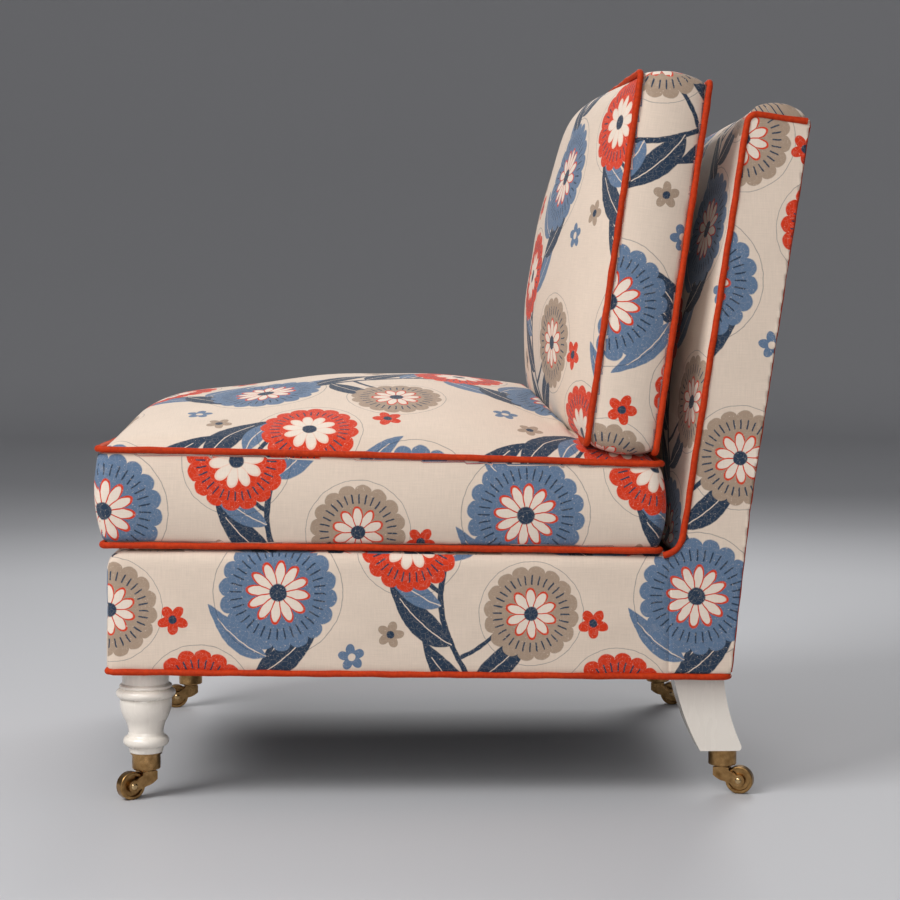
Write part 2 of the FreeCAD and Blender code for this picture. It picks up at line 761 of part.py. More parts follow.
def back_outline(inset, crown, top_crown, rear, x=0.0, corner=0.0):
    """The back's side profile above the deck, as edges from the deck round the front and the top to
    the rear: a sweep out of the deck, a crowned front and a crowned top."""
    base, along = deck_corner()
    turn = along.getAngle(Vector(0, 0, 1))
    reach = size.foot_sweep * math.tan(turn / 2)
    start = base - along * reach
    finish = base + Vector(0, 0, reach)
    centre = finish + Vector(0, -size.foot_sweep, 0)
    radius = size.foot_sweep + inset
    start = centre + (start - centre).normalize() * radius
    finish = centre + (finish - centre).normalize() * radius
    middle = centre + (base - centre).normalize() * radius
    top = Vector(0, inset, size.back_height - inset)
    rear_top = Vector(0, rear, size.back_height - inset)
    edges = [Part.Arc(start, middle, finish).toShape()]
    if corner > 0:
        path = rounded_path([finish, top, rear_top], [0, corner, 0])
        edges += path.Edges
    else:
        front = (finish + top) / 2 + Vector(0, -crown, 0)
        above = (top + rear_top) / 2 + Vector(0, 0, top_crown)
        edges.append(Part.Arc(finish, front, top).toShape())
        edges.append(Part.Arc(top, above, rear_top).toShape())
    for edge in edges:
        edge.translate(Vector(x, 0, 0))
    return edges, start + Vector(x, 0, 0), rear_top + Vector(x, 0, 0)


def back_block(inset):
    """The padded back above the deck, crowned forwards and upwards, full in the middle."""
    sections = []
    half = size.rail_outer
    edge_crown = size.crown_edge / 3
    _, along = deck_corner()
    steps = int(size.crown_sections) // 2
    for k in range(-steps, steps + 1):
        x = half * math.sin(math.pi / 2 * k / steps)
        fullness = math.sqrt(max(0.0, 1 - abs(x / half) ** 3))
        crown = edge_crown + (size.inside_crown - edge_crown) * fullness
        rise = edge_crown + (size.top_crown - edge_crown) * fullness
        edges, start, rear_top = back_outline(inset, crown, rise, size.frame_rear_n, x)
        low = start + along * ((size.frame_rear_n - start.y) / along.y)
        edges.append(Part.makeLine(rear_top, low))
        edges.append(Part.makeLine(low, start))
        sections.append(Part.Wire(edges))
    return Part.makeLoft(sections, True)


def above_deck():
    return box(-size.half_width, size.half_width, 0, 2 * size.deck_end, size.base_height,
               size.base_height + 2 * size.back_height)


def make_back_upholstery():
    half = size.half_width
    outer = back_block(0)
    inner = back_block(size.cover_thickness)
    above = placed(placed(above_deck(), BASE_PLACE), BACK_PLACE.inverse())
    frame = box(-half, half, size.frame_front_n - size.band_thickness, 3 * size.back_depth,
                -size.back_height, size.frame_top_u)
    posts = [nodes["back_upright_left"].Shape, nodes["back_upright_right"].Shape]
    welts = facing_welts() + [outside_back_welt()]
    filling = placed(inner.common(above).cut(frame), BACK_PLACE)
    feature_of("back_padding", main_solid(filling.cut(posts + [welts[2]])))
    skin = outer.cut(inner)

    rear = size.back_depth
    inset = size.outside_thickness
    foot = value(rear_line("base_bottom")[0])
    foot_z = value(under_base(rear_line("base_bottom")[0])[1])
    bend = (size.bend_y, size.bend_z)
    top = [value(text) for text in on_back("back_depth", "back_height")]
    inner_top = [value(text) for text in on_back("frame_rear_n", "back_height")]
    inner_bend = [value(text) for text in on_back("frame_rear_n", "0")]
    outside = prism([(foot, foot_z), bend, top, inner_top, inner_bend, (foot - inset, foot_z)],
                    -size.rail_outer, size.rail_outer)

    edges, start, rear_top = back_outline(0, 0, 0, rear, 0, size.facing_corner)
    side = [edge.transformed(BACK_PLACE.toMatrix()) for edge in edges]
    start = BACK_PLACE.multVec(start)
    rear_top = BACK_PLACE.multVec(rear_top)
    front_foot = Vector(0, start.y, value(under_base(str(start.y))[1]))
    corners = [rear_top, Vector(0, *bend), Vector(0, foot, foot_z), front_foot, start]
    side += [Part.makeLine(a, b) for a, b in zip(corners, corners[1:])]
    panel = Part.Face(Part.Wire(side))
    seam = placed(box(-half - PAST, half + PAST, size.deck_length, 2 * size.deck_end, -PAST,
                      2 * size.back_height), BASE_PLACE)
    thickness = size.cover_thickness

    base_welt = nodes["base_welt"].Shape
    for name, x in (("back_facing_left", half - thickness), ("back_facing_right", -half)):
        facing = panel.extrude(Vector(thickness, 0, 0))
        facing.translate(Vector(x, 0, 0))
        feature_of(name, main_solid(facing.common(seam).cut(welts + [base_welt])))
    feature_of("inside_back_cover", main_solid(placed(skin, BACK_PLACE).cut(welts)))
    feature_of("outside_back_cover", main_solid(outside.cut(welts + [base_welt])))
    feature_of("facing_welt_left", main_solid(welts[0].cut(welts[2])))
    feature_of("facing_welt_right", main_solid(welts[1].cut(welts[2])))
    feature_of("outside_back_welt", welts[2])


def facing_welts():
    """The cords round the front and top edges of both facings, from behind the seat cushion."""
    depth = size.welt_radius - size.welt_proud
    edges, start, rear_top = back_outline(depth, 0, 0, size.back_depth - depth, 0, size.facing_corner)
    edges = [edge.transformed(BACK_PLACE.toMatrix()) for edge in edges]
    sweep = edges[0]
    span = sweep.LastParameter - sweep.FirstParameter
    short = sweep.Curve.toShape(sweep.FirstParameter + size.sweep_hidden * span, sweep.LastParameter)
    path = Part.Wire([short] + edges[1:])
    cords = []
    for x in (size.welt_x, -size.welt_x):
        line = path.copy()
        line.translate(Vector(x, 0, 0))
        cords.append(pipe(line, size.welt_radius))
    return cords


def outside_back_welt():
    """The cord up one rear edge, over the top and down the other."""
    depth = size.welt_radius - size.rear_welt_proud
    side = size.half_width + size.rear_welt_side_proud - size.welt_radius
    low_z = value(under_base(rear_line("base_bottom")[0])[1]) + size.welt_radius + size.rear_welt_side_proud
    low = Vector(side, value(rear_line(str(low_z))[0]) - depth, low_z)
    bend = Vector(side, size.bend_y - depth, size.bend_z)
    high = BACK_PLACE.multVec(Vector(side, size.back_depth - depth, size.back_height - depth))
    points = [low, bend, high]
    points += [Vector(-point.x, point.y, point.z) for point in reversed(points)]
    bend_radius = size.rear_welt_bend
    radii = [0, bend_radius, size.facing_corner, size.facing_corner, bend_radius, 0]
    return pipe(rounded_path(points, radii), size.welt_radius)


# loose cushions

def cushion_outline(half, near, far, draw_in, corner):
    """A cushion's plan: four sides drawn in between rounded corners."""
    middle = (near + far) / 2
    corners = [Vector(-half, near, 0), Vector(half, near, 0), Vector(half, far, 0), Vector(-half, far, 0)]
    pulls = [Vector(0, near + draw_in, 0), Vector(half - draw_in, middle, 0),
             Vector(0, far - draw_in, 0), Vector(draw_in - half, middle, 0)]
    sides = [Part.Arc(corners[k], pulls[k], corners[(k + 1) % 4]).toShape() for k in range(4)]
    block = Part.Face(Part.Wire(sides)).extrude(Vector(0, 0, 1))
    upright = [edge for edge in block.Edges if edge.BoundBox.ZLength > 1 - CLOSE and len(edge.Vertexes) == 2
               and abs(edge.tangentAt(edge.FirstParameter).z) > 1 - CLOSE]
    block = block.makeFillet(corner, upright)
    return min(block.Faces, key=lambda face: face.CenterOfMass.z).OuterWire


def crown_cap(half, near, far, height, peak, near_power, far_power, edge_rise):
    """A crowned panel over its seam plane: full near the middle and steep at its ends."""
    sections = []
    count = int(size.crown_sections)
    for k in range(count + 1):
        share = (1 - math.cos(math.pi * k / count)) / 2
        if share < peak:
            fall = ((peak - share) / peak) ** near_power
        else:
            fall = ((share - peak) / (1 - peak)) ** far_power
        rise = edge_rise + (height - edge_rise) * math.sqrt(max(0.0, 1 - fall))
        y = near + (far - near) * share
        arc = Part.Arc(Vector(half, y, 0), Vector(0, y, rise), Vector(-half, y, 0)).toShape()
        sections.append(Part.Wire([arc, Part.makeLine(Vector(-half, y, 0), Vector(half, y, 0))]))
    return Part.makeLoft(sections, True)


class Cushion:
    """A boxed cushion in its own frame: y from its near edge to its far edge, z across its depth."""

    def __init__(self, length, near_depth, far_depth, crown, under):
        self.length = length
        self.near_depth = near_depth
        self.tilt = -math.degrees(math.atan2(near_depth - far_depth, length))
        self.crown = crown
        self.under = under

    def seam(self, level, grow, inset=0.0):
        """The plan at a share of the depth, grown outwards or moved in."""
        half = size.cushion_half_width - inset + grow
        draw_in = size.cushion_draw_in
        wire = cushion_outline(half, inset - grow, self.length - inset + grow, draw_in, size.cushion_corner)
        depth = inset + (self.near_depth - 2 * inset) * level
        wire.rotate(Vector(), Vector(1, 0, 0), self.tilt * level)
        wire.translate(Vector(0, 0, depth))
        return wire

    def border(self, inset=0.0):
        """The bulging border between the two seams."""
        seams = [self.seam(0, 0, inset), self.seam(0.5, size.cushion_bulge, inset), self.seam(1, 0, inset)]
        return Part.makeLoft(seams, True)

    def form(self, inset=0.0, ledge=0.0):
        """The whole cushion: the border between a crowned face and a flatter one, each set in by a ledge
        that leaves room for the welt."""
        half = size.cushion_half_width - inset - ledge
        near = inset + ledge
        far = self.length - near
        plan = cushion_outline(half, near, far, size.cushion_draw_in, size.cushion_corner)
        column = Part.Face(plan).extrude(Vector(0, 0, self.length))
        top = crown_cap(half, near, far, *self.crown, size.crown_edge).common(column)
        top.rotate(Vector(), Vector(1, 0, 0), self.tilt)
        top.translate(Vector(0, 0, self.near_depth - inset))
        below = crown_cap(half, near, far, *self.under, size.crown_edge).common(column)
        below = below.mirror(Vector(), Vector(0, 0, 1))
        below.translate(Vector(0, 0, inset))
        return self.border(inset).fuse([top, below]).removeSplitter()

    def welt(self, level):
        """The cord round one seam."""
        return pipe(self.seam(level, size.welt_proud - size.welt_radius), size.welt_radius)


def add_zip(name, cushion, y, middle, spot):
    """A thin strip that lies on the cushion's border, across the side at that y."""
    half = size.zip_length / 2
    width = size.zip_width
    room = box(-half, half, y - width, y + width, middle - width / 2, middle + width / 2)
    strip = cushion.border(-size.zip_thickness).common(room).cut(cushion.border())
    feature_of(name, placed(strip, spot))


def make_cushions():
    seat = Cushion(size.seat_cushion_depth, size.seat_cushion_front_height, size.seat_cushion_rear_height,
                   (size.seat_crown, size.seat_crown_peak, size.seat_crown_front_power,
                    size.seat_crown_rear_power),
                   (size.seat_under_crown, size.seat_crown_peak, size.seat_crown_rear_power,
                    size.seat_crown_rear_power))
    back = Cushion(size.back_cushion_height, size.back_cushion_thickness, size.back_cushion_thickness,
                   (size.back_crown, size.back_crown_peak, size.back_crown_power, size.back_crown_power),
                   (size.back_rear_crown, size.back_crown_peak, size.back_crown_power, size.back_crown_power))
    cover = size.cushion_cover
    for name, cushion, spot in (("seat_cushion", seat, SEAT_PLACE), ("back_cushion", back, PILLOW_PLACE)):
        outer = placed(cushion.form(0), spot)
        inner = placed(cushion.form(cover, size.core_ledge), spot)
        welts = [placed(cushion.welt(level), spot) for level in (0, 1)]
        if name == "seat_cushion":
            dent = placed(back.form(-size.dent_gap), PILLOW_PLACE)
            outer = outer.cut(dent)
            inner = inner.cut(dent.translated(Vector(0, -cover, -cover)))
        feature_of(f"{name}_cover", main_solid(outer.cut(inner).cut(welts[0]).cut(welts[1])))
        feature_of(f"{name}_core", main_solid(inner))
        feature_of(f"{name}_{'bottom' if name == 'seat_cushion' else 'rear'}_welt", welts[0])
        feature_of(f"{name}_{'top' if name == 'seat_cushion' else 'front'}_welt", welts[1])
    add_zip("seat_cushion_zip", seat, seat.length, size.seat_cushion_rear_height / 2, SEAT_PLACE)
    add_zip("back_cushion_zip", back, 0, size.back_cushion_thickness / 2, PILLOW_PLACE)


# casters

def make_caster(corner, x, y, angle):
    """A brass cup under the foot, a turning horn with its stem, an axle and a wheel."""
    cup = new_body(f"{corner}_caster_cup", (x, y, "cup_bottom"))
    outline = draw(cup, "XZ_Plane", [
        ("socket_radius", "0"), ("cup_radius - cup_round", "0", "-cup_round_bow"), ("cup_radius", "cup_round"),
        ("cup_radius", "cup_height - cup_flange"), ("cup_flange_radius", "cup_height - cup_flange"),
        ("cup_flange_radius", "cup_height"), ("cup_stem_radius", "cup_height"),
        ("cup_stem_radius", "cup_height + cup_stem_length"), ("0", "cup_height + cup_stem_length"),
        ("0", "swivel_depth + swivel_end_gap"), ("socket_radius", "swivel_depth + swivel_end_gap")])
    revolve(cup, outline, "V_Axis")

    horn = new_body(f"{corner}_caster_horn", (x, y, "0"), angle, (0, 0, 1))
    back = "horn_half_depth"
    outline = draw(horn, "YZ_Plane", [
        (back, "horn_top"), (f"-{back}", "horn_top"), (f"-{back}", "horn_top - horn_lip", "-horn_hollow"),
        ("-trail + horn_arm_in", "wheel_radius + boss_radius - horn_hollow", "-boss_bow"),
        ("-trail - boss_radius", "wheel_radius", "-boss_bow"),
        ("-trail + horn_arm_in", "wheel_radius - boss_radius + horn_hollow", "horn_hollow"),
        (f"{back} - horn_tail", "wheel_radius - horn_hollow", "-horn_hollow"),
        (back, "wheel_radius + horn_tail_drop")])
    pad(horn, outline, "2 * horn_half_width", middle=True)
    hole = circle(horn, "YZ_Plane", "-trail", "wheel_radius", "wheel_space")
    pocket(horn, hole, "wheel_width + 2 * cheek_clearance", middle=True)
    hole = circle(horn, "YZ_Plane", "-trail", "wheel_radius", "axle_radius")
    pocket(horn, hole, "4 * horn_half_width", middle=True)
    stem = circle(horn, "XY_Plane", "0", "0", "swivel_radius", "horn_top")
    pad(horn, stem, "swivel_gap + swivel_depth")
    washer = circle(horn, "XY_Plane", "0", "0", "horn_half_depth", "horn_top")
    pad(horn, washer, "swivel_gap - washer_gap")

    spin = (f"{x} + trail * sin({angle})", f"{y} - trail * cos({angle})", "wheel_radius")
    axle = new_body(f"{corner}_caster_axle", spin, angle, (0, 0, 1))
    tip = "(horn_half_width + axle_head_height)"
    outline = draw(axle, "XY_Plane", [
        (f"-{tip}", "0"), (tip, "0"), (tip, "axle_head_flat", "-axle_head_bow"),
        ("horn_half_width", "axle_head_radius"), ("horn_half_width", "axle_radius"),
        ("-horn_half_width", "axle_radius"), ("-horn_half_width", "axle_head_radius", "-axle_head_bow"),
        (f"-{tip}", "axle_head_flat")])
    revolve(axle, outline, "H_Axis")

    wheel = new_body(f"{corner}_caster_wheel", spin, angle, (0, 0, 1))
    side = "wheel_width / 2"
    dish = "wheel_width / 2 - wheel_dish"
    rim = "wheel_radius - wheel_rim"
    tread = f"({side} - wheel_round)"
    hub_foot = "wheel_hub + wheel_dish_slope"
    rim_foot = f"{rim} - wheel_dish_slope"
    shoulder = "wheel_radius - wheel_round"
    outline = draw(wheel, "XY_Plane", [
        (f"-{side}", "bore_radius"), (side, "bore_radius"), (side, "wheel_hub"), (dish, hub_foot),
        (dish, rim_foot), (side, rim), (side, shoulder, "-wheel_round_bow"), (tread, "wheel_radius"),
        (f"-{tread}", "wheel_radius", "-wheel_round_bow"), (f"-{side}", shoulder), (f"-{side}", rim),
        (f"-({dish})", rim_foot), (f"-({dish})", hub_foot), (f"-{side}", "wheel_hub")])
    revolve(wheel, outline, "H_Axis")


def make_casters():
    make_caster("front_left", "front_leg_x", "front_leg_y", "front_left_turn")
    make_caster("front_right", "-front_leg_x", "front_leg_y", "front_right_turn")
    make_caster("rear_left", "rear_leg_x", "rear_caster_y", "rear_left_turn")
    make_caster("rear_right", "-rear_leg_x", "rear_caster_y", "rear_right_turn")


def make_bolts():
    spots = []
    for side in (1, -1):
        spots.append((side * size.front_leg_x, size.front_leg_y, size.front_bolt_z))
        spots.append((side * (size.rear_leg_x + size.rear_bolt_out), size.rear_caster_y - size.rear_bolt_in,
                      size.rear_bolt_z))
    rods = [Part.makeCylinder(size.bolt_radius, size.bolt_length, Vector(*spot)) for spot in spots]
    feature_of("leg_bolts", Part.makeCompound(rods))


make_rails()
make_corner_blocks()
make_uprights()
make_back_rails()
make_webbing()
make_front_legs()
make_rear_legs()
make_casters()
doc.recompute()
make_bolts()
make_base_upholstery()
make_dust_cover()
make_back_upholstery()
make_cushions()
doc.recompute()

os.makedirs("parts", exist_ok=True)
for item in doc.Objects:
    if {"Invalid", "Error"} & set(item.State):
        raise RuntimeError(f"{item.Label} failed: {item.State}")
for name, item in nodes.items():
    if item.Shape.isNull() or not item.Shape.isValid() or not item.Shape.Solids:
        raise RuntimeError(f"{name} has no valid shape")
for name, item in nodes.items():
    item.Shape.exportStep(f"parts/{name}.step")
print(len(nodes), "nodes")
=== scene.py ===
import bpy
import math
from mathutils import Matrix, Vector


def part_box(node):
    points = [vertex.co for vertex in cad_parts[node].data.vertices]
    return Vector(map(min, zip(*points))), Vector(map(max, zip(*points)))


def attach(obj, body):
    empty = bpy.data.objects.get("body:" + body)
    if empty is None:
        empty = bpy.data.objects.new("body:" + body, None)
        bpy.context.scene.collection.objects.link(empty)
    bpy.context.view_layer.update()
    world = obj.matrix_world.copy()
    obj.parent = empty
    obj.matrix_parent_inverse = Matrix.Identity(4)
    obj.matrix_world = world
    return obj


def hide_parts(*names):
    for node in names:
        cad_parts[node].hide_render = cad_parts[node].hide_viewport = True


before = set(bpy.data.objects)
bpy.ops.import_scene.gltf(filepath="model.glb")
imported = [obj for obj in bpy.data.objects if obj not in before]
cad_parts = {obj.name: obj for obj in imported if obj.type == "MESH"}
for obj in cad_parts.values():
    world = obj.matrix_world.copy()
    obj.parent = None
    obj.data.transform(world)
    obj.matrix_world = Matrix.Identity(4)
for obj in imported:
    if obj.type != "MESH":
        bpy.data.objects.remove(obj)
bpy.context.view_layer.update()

# The studio. A smooth pale floor that curves up all round into a low wall, with a painted pool of light: its
# colour is lighter round the chair and darker further out. A camera level with the back cushion at the
# photograph's place, and wide soft lamps over the front and on both sides.
camera_data = bpy.data.cameras.new("camera")
camera_data.lens = 82.36
camera_data.sensor_width = 36
camera = bpy.data.objects.new("camera", camera_data)
camera.location = (2.712, -0.084, 0.562)
camera.rotation_euler = (math.radians(90 - 3.555), 0, math.radians(90 - 1.975))
bpy.context.scene.collection.objects.link(camera)
bpy.context.scene.camera = camera
bpy.context.scene.view_settings.view_transform = "Standard"

for name, place, width, power in (("key_lamp", (1.7, -1.9, 2.6), 1.6, 80),
                                  ("side_lamp", (3.1, -0.5, 1.5), 1.6, 24),
                                  ("far_lamp", (-2.4, 0.5, 2.3), 1.8, 38)):
    lamp_data = bpy.data.lights.new(name, "AREA")
    lamp_data.size = width
    lamp_data.energy = power
    lamp = bpy.data.objects.new(name, lamp_data)
    lamp.location = place
    lamp.rotation_euler = (Vector((0, 0, 0.4)) - Vector(place)).to_track_quat("-Z", "Y").to_euler()
    bpy.context.scene.collection.objects.link(lamp)

world = bpy.data.worlds.new("studio")
world.use_nodes = True
world.node_tree.nodes["Background"].inputs["Color"].default_value = (0.93, 0.94, 0.96, 1)
world.node_tree.nodes["Background"].inputs["Strength"].default_value = 0.36
bpy.context.scene.world = world

bpy.ops.object.select_all(action="DESELECT")
bpy.ops.mesh.primitive_circle_add(vertices=96, radius=7.4, fill_type="NGON")
floor = bpy.context.active_object
floor.name = "floor"
bpy.ops.object.mode_set(mode="EDIT")
for rise, spread in ((0.04, 1.04), (0.12, 1.035), (0.24, 1.025), (0.38, 1.015), (0.6, 1.01), (4.0, 1.0)):
    bpy.ops.mesh.select_mode(type="EDGE")
    bpy.ops.mesh.select_all(action="DESELECT")
    bpy.ops.mesh.select_non_manifold()
    bpy.ops.mesh.extrude_edges_move(TRANSFORM_OT_translate={"value": (0, 0, rise)})
    bpy.ops.transform.resize(value=(spread, spread, 1), center_override=(0, 0, 0))
bpy.ops.object.mode_set(mode="OBJECT")
bpy.ops.object.shade_smooth()
floor_with_painted_light = bpy.data.materials.new("floor_with_painted_light")
floor_with_painted_light.use_nodes = True
shader = floor_with_painted_light.node_tree.nodes["Principled BSDF"]
shader.inputs["Roughness"].default_value = 0.55
# painted light: the floor's colour is lighter within about two metres of the chair and darker beyond about
# three metres, a painted pool of light, not an evenly bright floor
place = floor_with_painted_light.node_tree.nodes.new("ShaderNodeTexCoord")
reach = floor_with_painted_light.node_tree.nodes.new("ShaderNodeMapping")
reach.inputs["Scale"].default_value = (0.3, 0.3, 0.3)
nearness = floor_with_painted_light.node_tree.nodes.new("ShaderNodeTexGradient")
nearness.gradient_type = "SPHERICAL"
painted_light_pool = floor_with_painted_light.node_tree.nodes.new("ShaderNodeValToRGB")
painted_light_pool.color_ramp.elements[0].position = 0.05
painted_light_pool.color_ramp.elements[0].color = (0.43, 0.43, 0.445, 1)
painted_light_pool.color_ramp.elements[1].position = 0.40
painted_light_pool.color_ramp.elements[1].color = (0.56, 0.56, 0.575, 1)
for start, end in ((place.outputs["Object"], reach.inputs["Vector"]),
                   (reach.outputs["Vector"], nearness.inputs["Vector"]),
                   (nearness.outputs["Fac"], painted_light_pool.inputs["Fac"]),
                   (painted_light_pool.outputs["Color"], shader.inputs["Base Color"])):
    floor_with_painted_light.node_tree.links.new(start, end)
floor.data.materials.append(floor_with_painted_light)


# Printed linen, the chair's main cloth: a plain weave of natural linen, block printed with a climbing
# flower design in brick red, slate blue, navy and taupe inks. The design repeats every 245 x 370 mm.
repeat_across, repeat_up = 0.245, 0.37
vine_swing = 0.032


class Drafter:
    """Adds nodes to one tree and joins them, so that a shape is drafted a step at a time."""

    def __init__(self, tree):
        self.tree = tree

    def node(self, kind, **settings):
        made = self.tree.nodes.new(kind)
        for setting, amount in settings.items():
            setattr(made, setting, amount)
        return made

    def join(self, amount, socket):
        if isinstance(amount, bpy.types.NodeSocket):
            self.tree.links.new(amount, socket)
        else:
            socket.default_value = amount

    def work(self, operation, *amounts):
        made = self.node("ShaderNodeMath", operation=operation)
        for amount, socket in zip(amounts, made.inputs):
            self.join(amount, socket)
        return made.outputs[0]

    def edge(self, amount, softness):
        """One where the amount is over zero, with an edge that soft."""
        made = self.node("ShaderNodeMath", operation="MULTIPLY_ADD", use_clamp=True)
        self.join(amount, made.inputs[0])
        made.inputs[1].default_value = 1 / softness
        made.inputs[2].default_value = 0.5
        return made.outputs[0]

    def lay(self, under, over, mask):
        """One ink printed over another colour where the mask says."""
        made = self.node("ShaderNodeMix", data_type="RGBA")
        self.join(mask, made.inputs[0])
        self.join(under, made.inputs[6])
        self.join(over, made.inputs[7])
        return made.outputs[2]

    def noise(self, vector, scale, detail=2.0, stretch=None):
        if stretch is not None:
            mapping = self.node("ShaderNodeMapping")
            mapping.inputs["Scale"].default_value = stretch
            self.join(vector, mapping.inputs["Vector"])
            vector = mapping.outputs["Vector"]
        made = self.node("ShaderNodeTexNoise")
        made.inputs["Scale"].default_value = scale
        made.inputs["Detail"].default_value = detail
        self.join(vector, made.inputs["Vector"])
        return made.outputs["Fac"]

    def span(self, amount, low, high):
        """A zero to one amount spread between two values."""
        made = self.node("ShaderNodeMapRange")
        self.join(amount, made.inputs["Value"])
        made.inputs["To Min"].default_value = low
        made.inputs["To Max"].default_value = high
        return made.outputs["Result"]

    def here(self):
        """The point's place in the chair's frame."""
        return self.node("ShaderNodeTexCoord").outputs["Object"]

    def parts_of(self, vector):
        """A vector's X, Y and Z."""
        made = self.node("ShaderNodeSeparateXYZ")
        self.join(vector, made.inputs[0])
        return made.outputs

    def bump(self, height, strength, distance):
        made = self.node("ShaderNodeBump")
        made.inputs["Strength"].default_value = strength
        made.inputs["Distance"].default_value = distance
        self.join(height, made.inputs["Height"])
        return made.outputs["Normal"]


def new_group(name, inputs, outputs):
    """An empty node group with named sockets: its drafter, its inputs by name and its output node."""
    group = bpy.data.node_groups.new(name, "ShaderNodeTree")
    for label, kind in inputs:
        group.interface.new_socket(label, in_out="INPUT", socket_type=kind)
    for label, kind in outputs:
        group.interface.new_socket(label, in_out="OUTPUT", socket_type=kind)
    draft = Drafter(group)
    given = draft.node("NodeGroupInput").outputs
    result = draft.node("NodeGroupOutput").inputs
    return group, draft, given, result


def new_material(name):
    """A material with its drafter and its Principled shader."""
    material = bpy.data.materials.new(name)
    material.use_nodes = True
    draft = Drafter(material.node_tree)
    return material, draft, material.node_tree.nodes["Principled BSDF"].inputs


def placed_group(draft, group, **given):
    """A group's node in a tree, with its values; an underscore stands for a space."""
    made = draft.node("ShaderNodeGroup", node_tree=group)
    for label, amount in given.items():
        draft.join(amount, made.inputs[label.replace("_", " ")])
    return made.outputs


def round_middle(draft, given):
    """How far a point is from a flower's middle, that as a share of its radius, and the turned angle."""
    radius = draft.work("SQRT", draft.work("ADD", draft.work("MULTIPLY", given["X"], given["X"]),
                                           draft.work("MULTIPLY", given["Y"], given["Y"])))
    angle = draft.work("ADD", draft.work("ARCTAN2", given["Y"], given["X"]), given["Turn"])
    return radius, draft.work("DIVIDE", radius, given["Radius"]), angle


def along_bow(draft, given):
    """How far along a bowed line a point is, as a share, how far off it, and whether between its ends."""
    cosine = draft.work("COSINE", given["Aim"])
    sine = draft.work("SINE", given["Aim"])
    run = draft.work("ADD", draft.work("MULTIPLY", given["X"], cosine),
                     draft.work("MULTIPLY", given["Y"], sine))
    off = draft.work("SUBTRACT", draft.work("MULTIPLY", given["Y"], cosine),
                     draft.work("MULTIPLY", given["X"], sine))
    share = draft.work("DIVIDE", run, given["Length"])
    bow = draft.work("MULTIPLY", draft.work("MULTIPLY", given["Bow"], given["Length"]),
                     draft.work("MULTIPLY", share, share))
    off = draft.work("ABSOLUTE", draft.work("SUBTRACT", off, bow))
    within = draft.work("MULTIPLY", draft.work("GREATER_THAN", share, 0),
                        draft.work("LESS_THAN", share, 1))
    return share, off, within


NUMBER, VECTOR, COLOUR = "NodeSocketFloat", "NodeSocketVector", "NodeSocketColor"

# where a point lies from the nearest copy of a motif, in half-drop rows
motif_spot, draft, given, result = new_group(
    "motif_spot", [("Across", NUMBER), ("Up", NUMBER), ("Motif Across", NUMBER), ("Motif Up", NUMBER)],
    [("X", NUMBER), ("Y", NUMBER)])
x = draft.work("SUBTRACT", given["Across"], given["Motif Across"])
column = draft.work("ROUND", draft.work("DIVIDE", x, repeat_across))
y = draft.work("SUBTRACT", given["Up"], given["Motif Up"])
y = draft.work("MULTIPLY_ADD", column, -repeat_up / 2, y)
row = draft.work("ROUND", draft.work("DIVIDE", y, repeat_up))
draft.join(draft.work("MULTIPLY_ADD", column, -repeat_across, x), result["X"])
draft.join(draft.work("MULTIPLY_ADD", row, -repeat_up, y), result["Y"])

# a round flower head: scalloped rim, a ring of cut marks, outlined petals and a navy heart
flower_head, draft, given, result = new_group(
    "flower_head",
    [("X", NUMBER), ("Y", NUMBER), ("Radius", NUMBER), ("Turn", NUMBER), ("Lobes", NUMBER),
     ("Petals", NUMBER), ("Under", COLOUR), ("Rim Ink", COLOUR), ("Line Ink", COLOUR), ("Petal Ink", COLOUR),
     ("Dark Ink", COLOUR)], [("Colour", COLOUR)])
radius, share, angle = round_middle(draft, given)
lobe_angle = draft.work("MULTIPLY", angle, draft.work("MULTIPLY", given["Lobes"], 0.5))
lobe = draft.work("SQRT", draft.work("ABSOLUTE", draft.work("COSINE", lobe_angle)))
rim = draft.edge(draft.work("SUBTRACT", draft.work("MULTIPLY_ADD", lobe, 0.12, 0.88), share), 0.02)
mark_turn = draft.work("DIVIDE", lobe_angle, math.pi / 2)
mark_off = draft.work("ABSOLUTE", draft.work("SUBTRACT", draft.work("FRACT", mark_turn), 0.5))
mark_wide = draft.work("DIVIDE", draft.work("MULTIPLY", mark_off, draft.work("MULTIPLY", radius, math.pi)),
                       given["Lobes"])
mark = draft.edge(draft.work("SUBTRACT", 0.0009, mark_wide), 0.0006)
mark_end = draft.work("MULTIPLY_ADD", lobe, 0.16, 0.67)
mark = draft.work("MULTIPLY", mark, draft.edge(draft.work("SUBTRACT", share, 0.61), 0.02))
mark = draft.work("MULTIPLY", mark, draft.edge(draft.work("SUBTRACT", mark_end, share), 0.02))
petal_angle = draft.work("MULTIPLY", angle, draft.work("MULTIPLY", given["Petals"], 0.5))
petal = draft.work("ABSOLUTE", draft.work("COSINE", petal_angle))
outline = draft.work("MULTIPLY_ADD", draft.work("POWER", petal, 0.6), 0.24, 0.31)
outline = draft.edge(draft.work("SUBTRACT", outline, share), 0.02)
inner = draft.work("MULTIPLY_ADD", draft.work("POWER", petal, 0.9), 0.235, 0.27)
inner = draft.edge(draft.work("SUBTRACT", inner, share), 0.02)
slit = draft.edge(draft.work("SUBTRACT", draft.work("MULTIPLY", petal, share), 0.06), 0.03)
inner = draft.work("MULTIPLY", inner, slit)
heart = draft.edge(draft.work("SUBTRACT", 0.15, share), 0.02)
halo = draft.work("ABSOLUTE", draft.work("SUBTRACT", share, 1.09))
halo = draft.work("MULTIPLY", draft.edge(draft.work("SUBTRACT", 0.007, halo), 0.01), 0.55)
colour = draft.lay(given["Under"], given["Dark Ink"], halo)
colour = draft.lay(colour, given["Rim Ink"], rim)
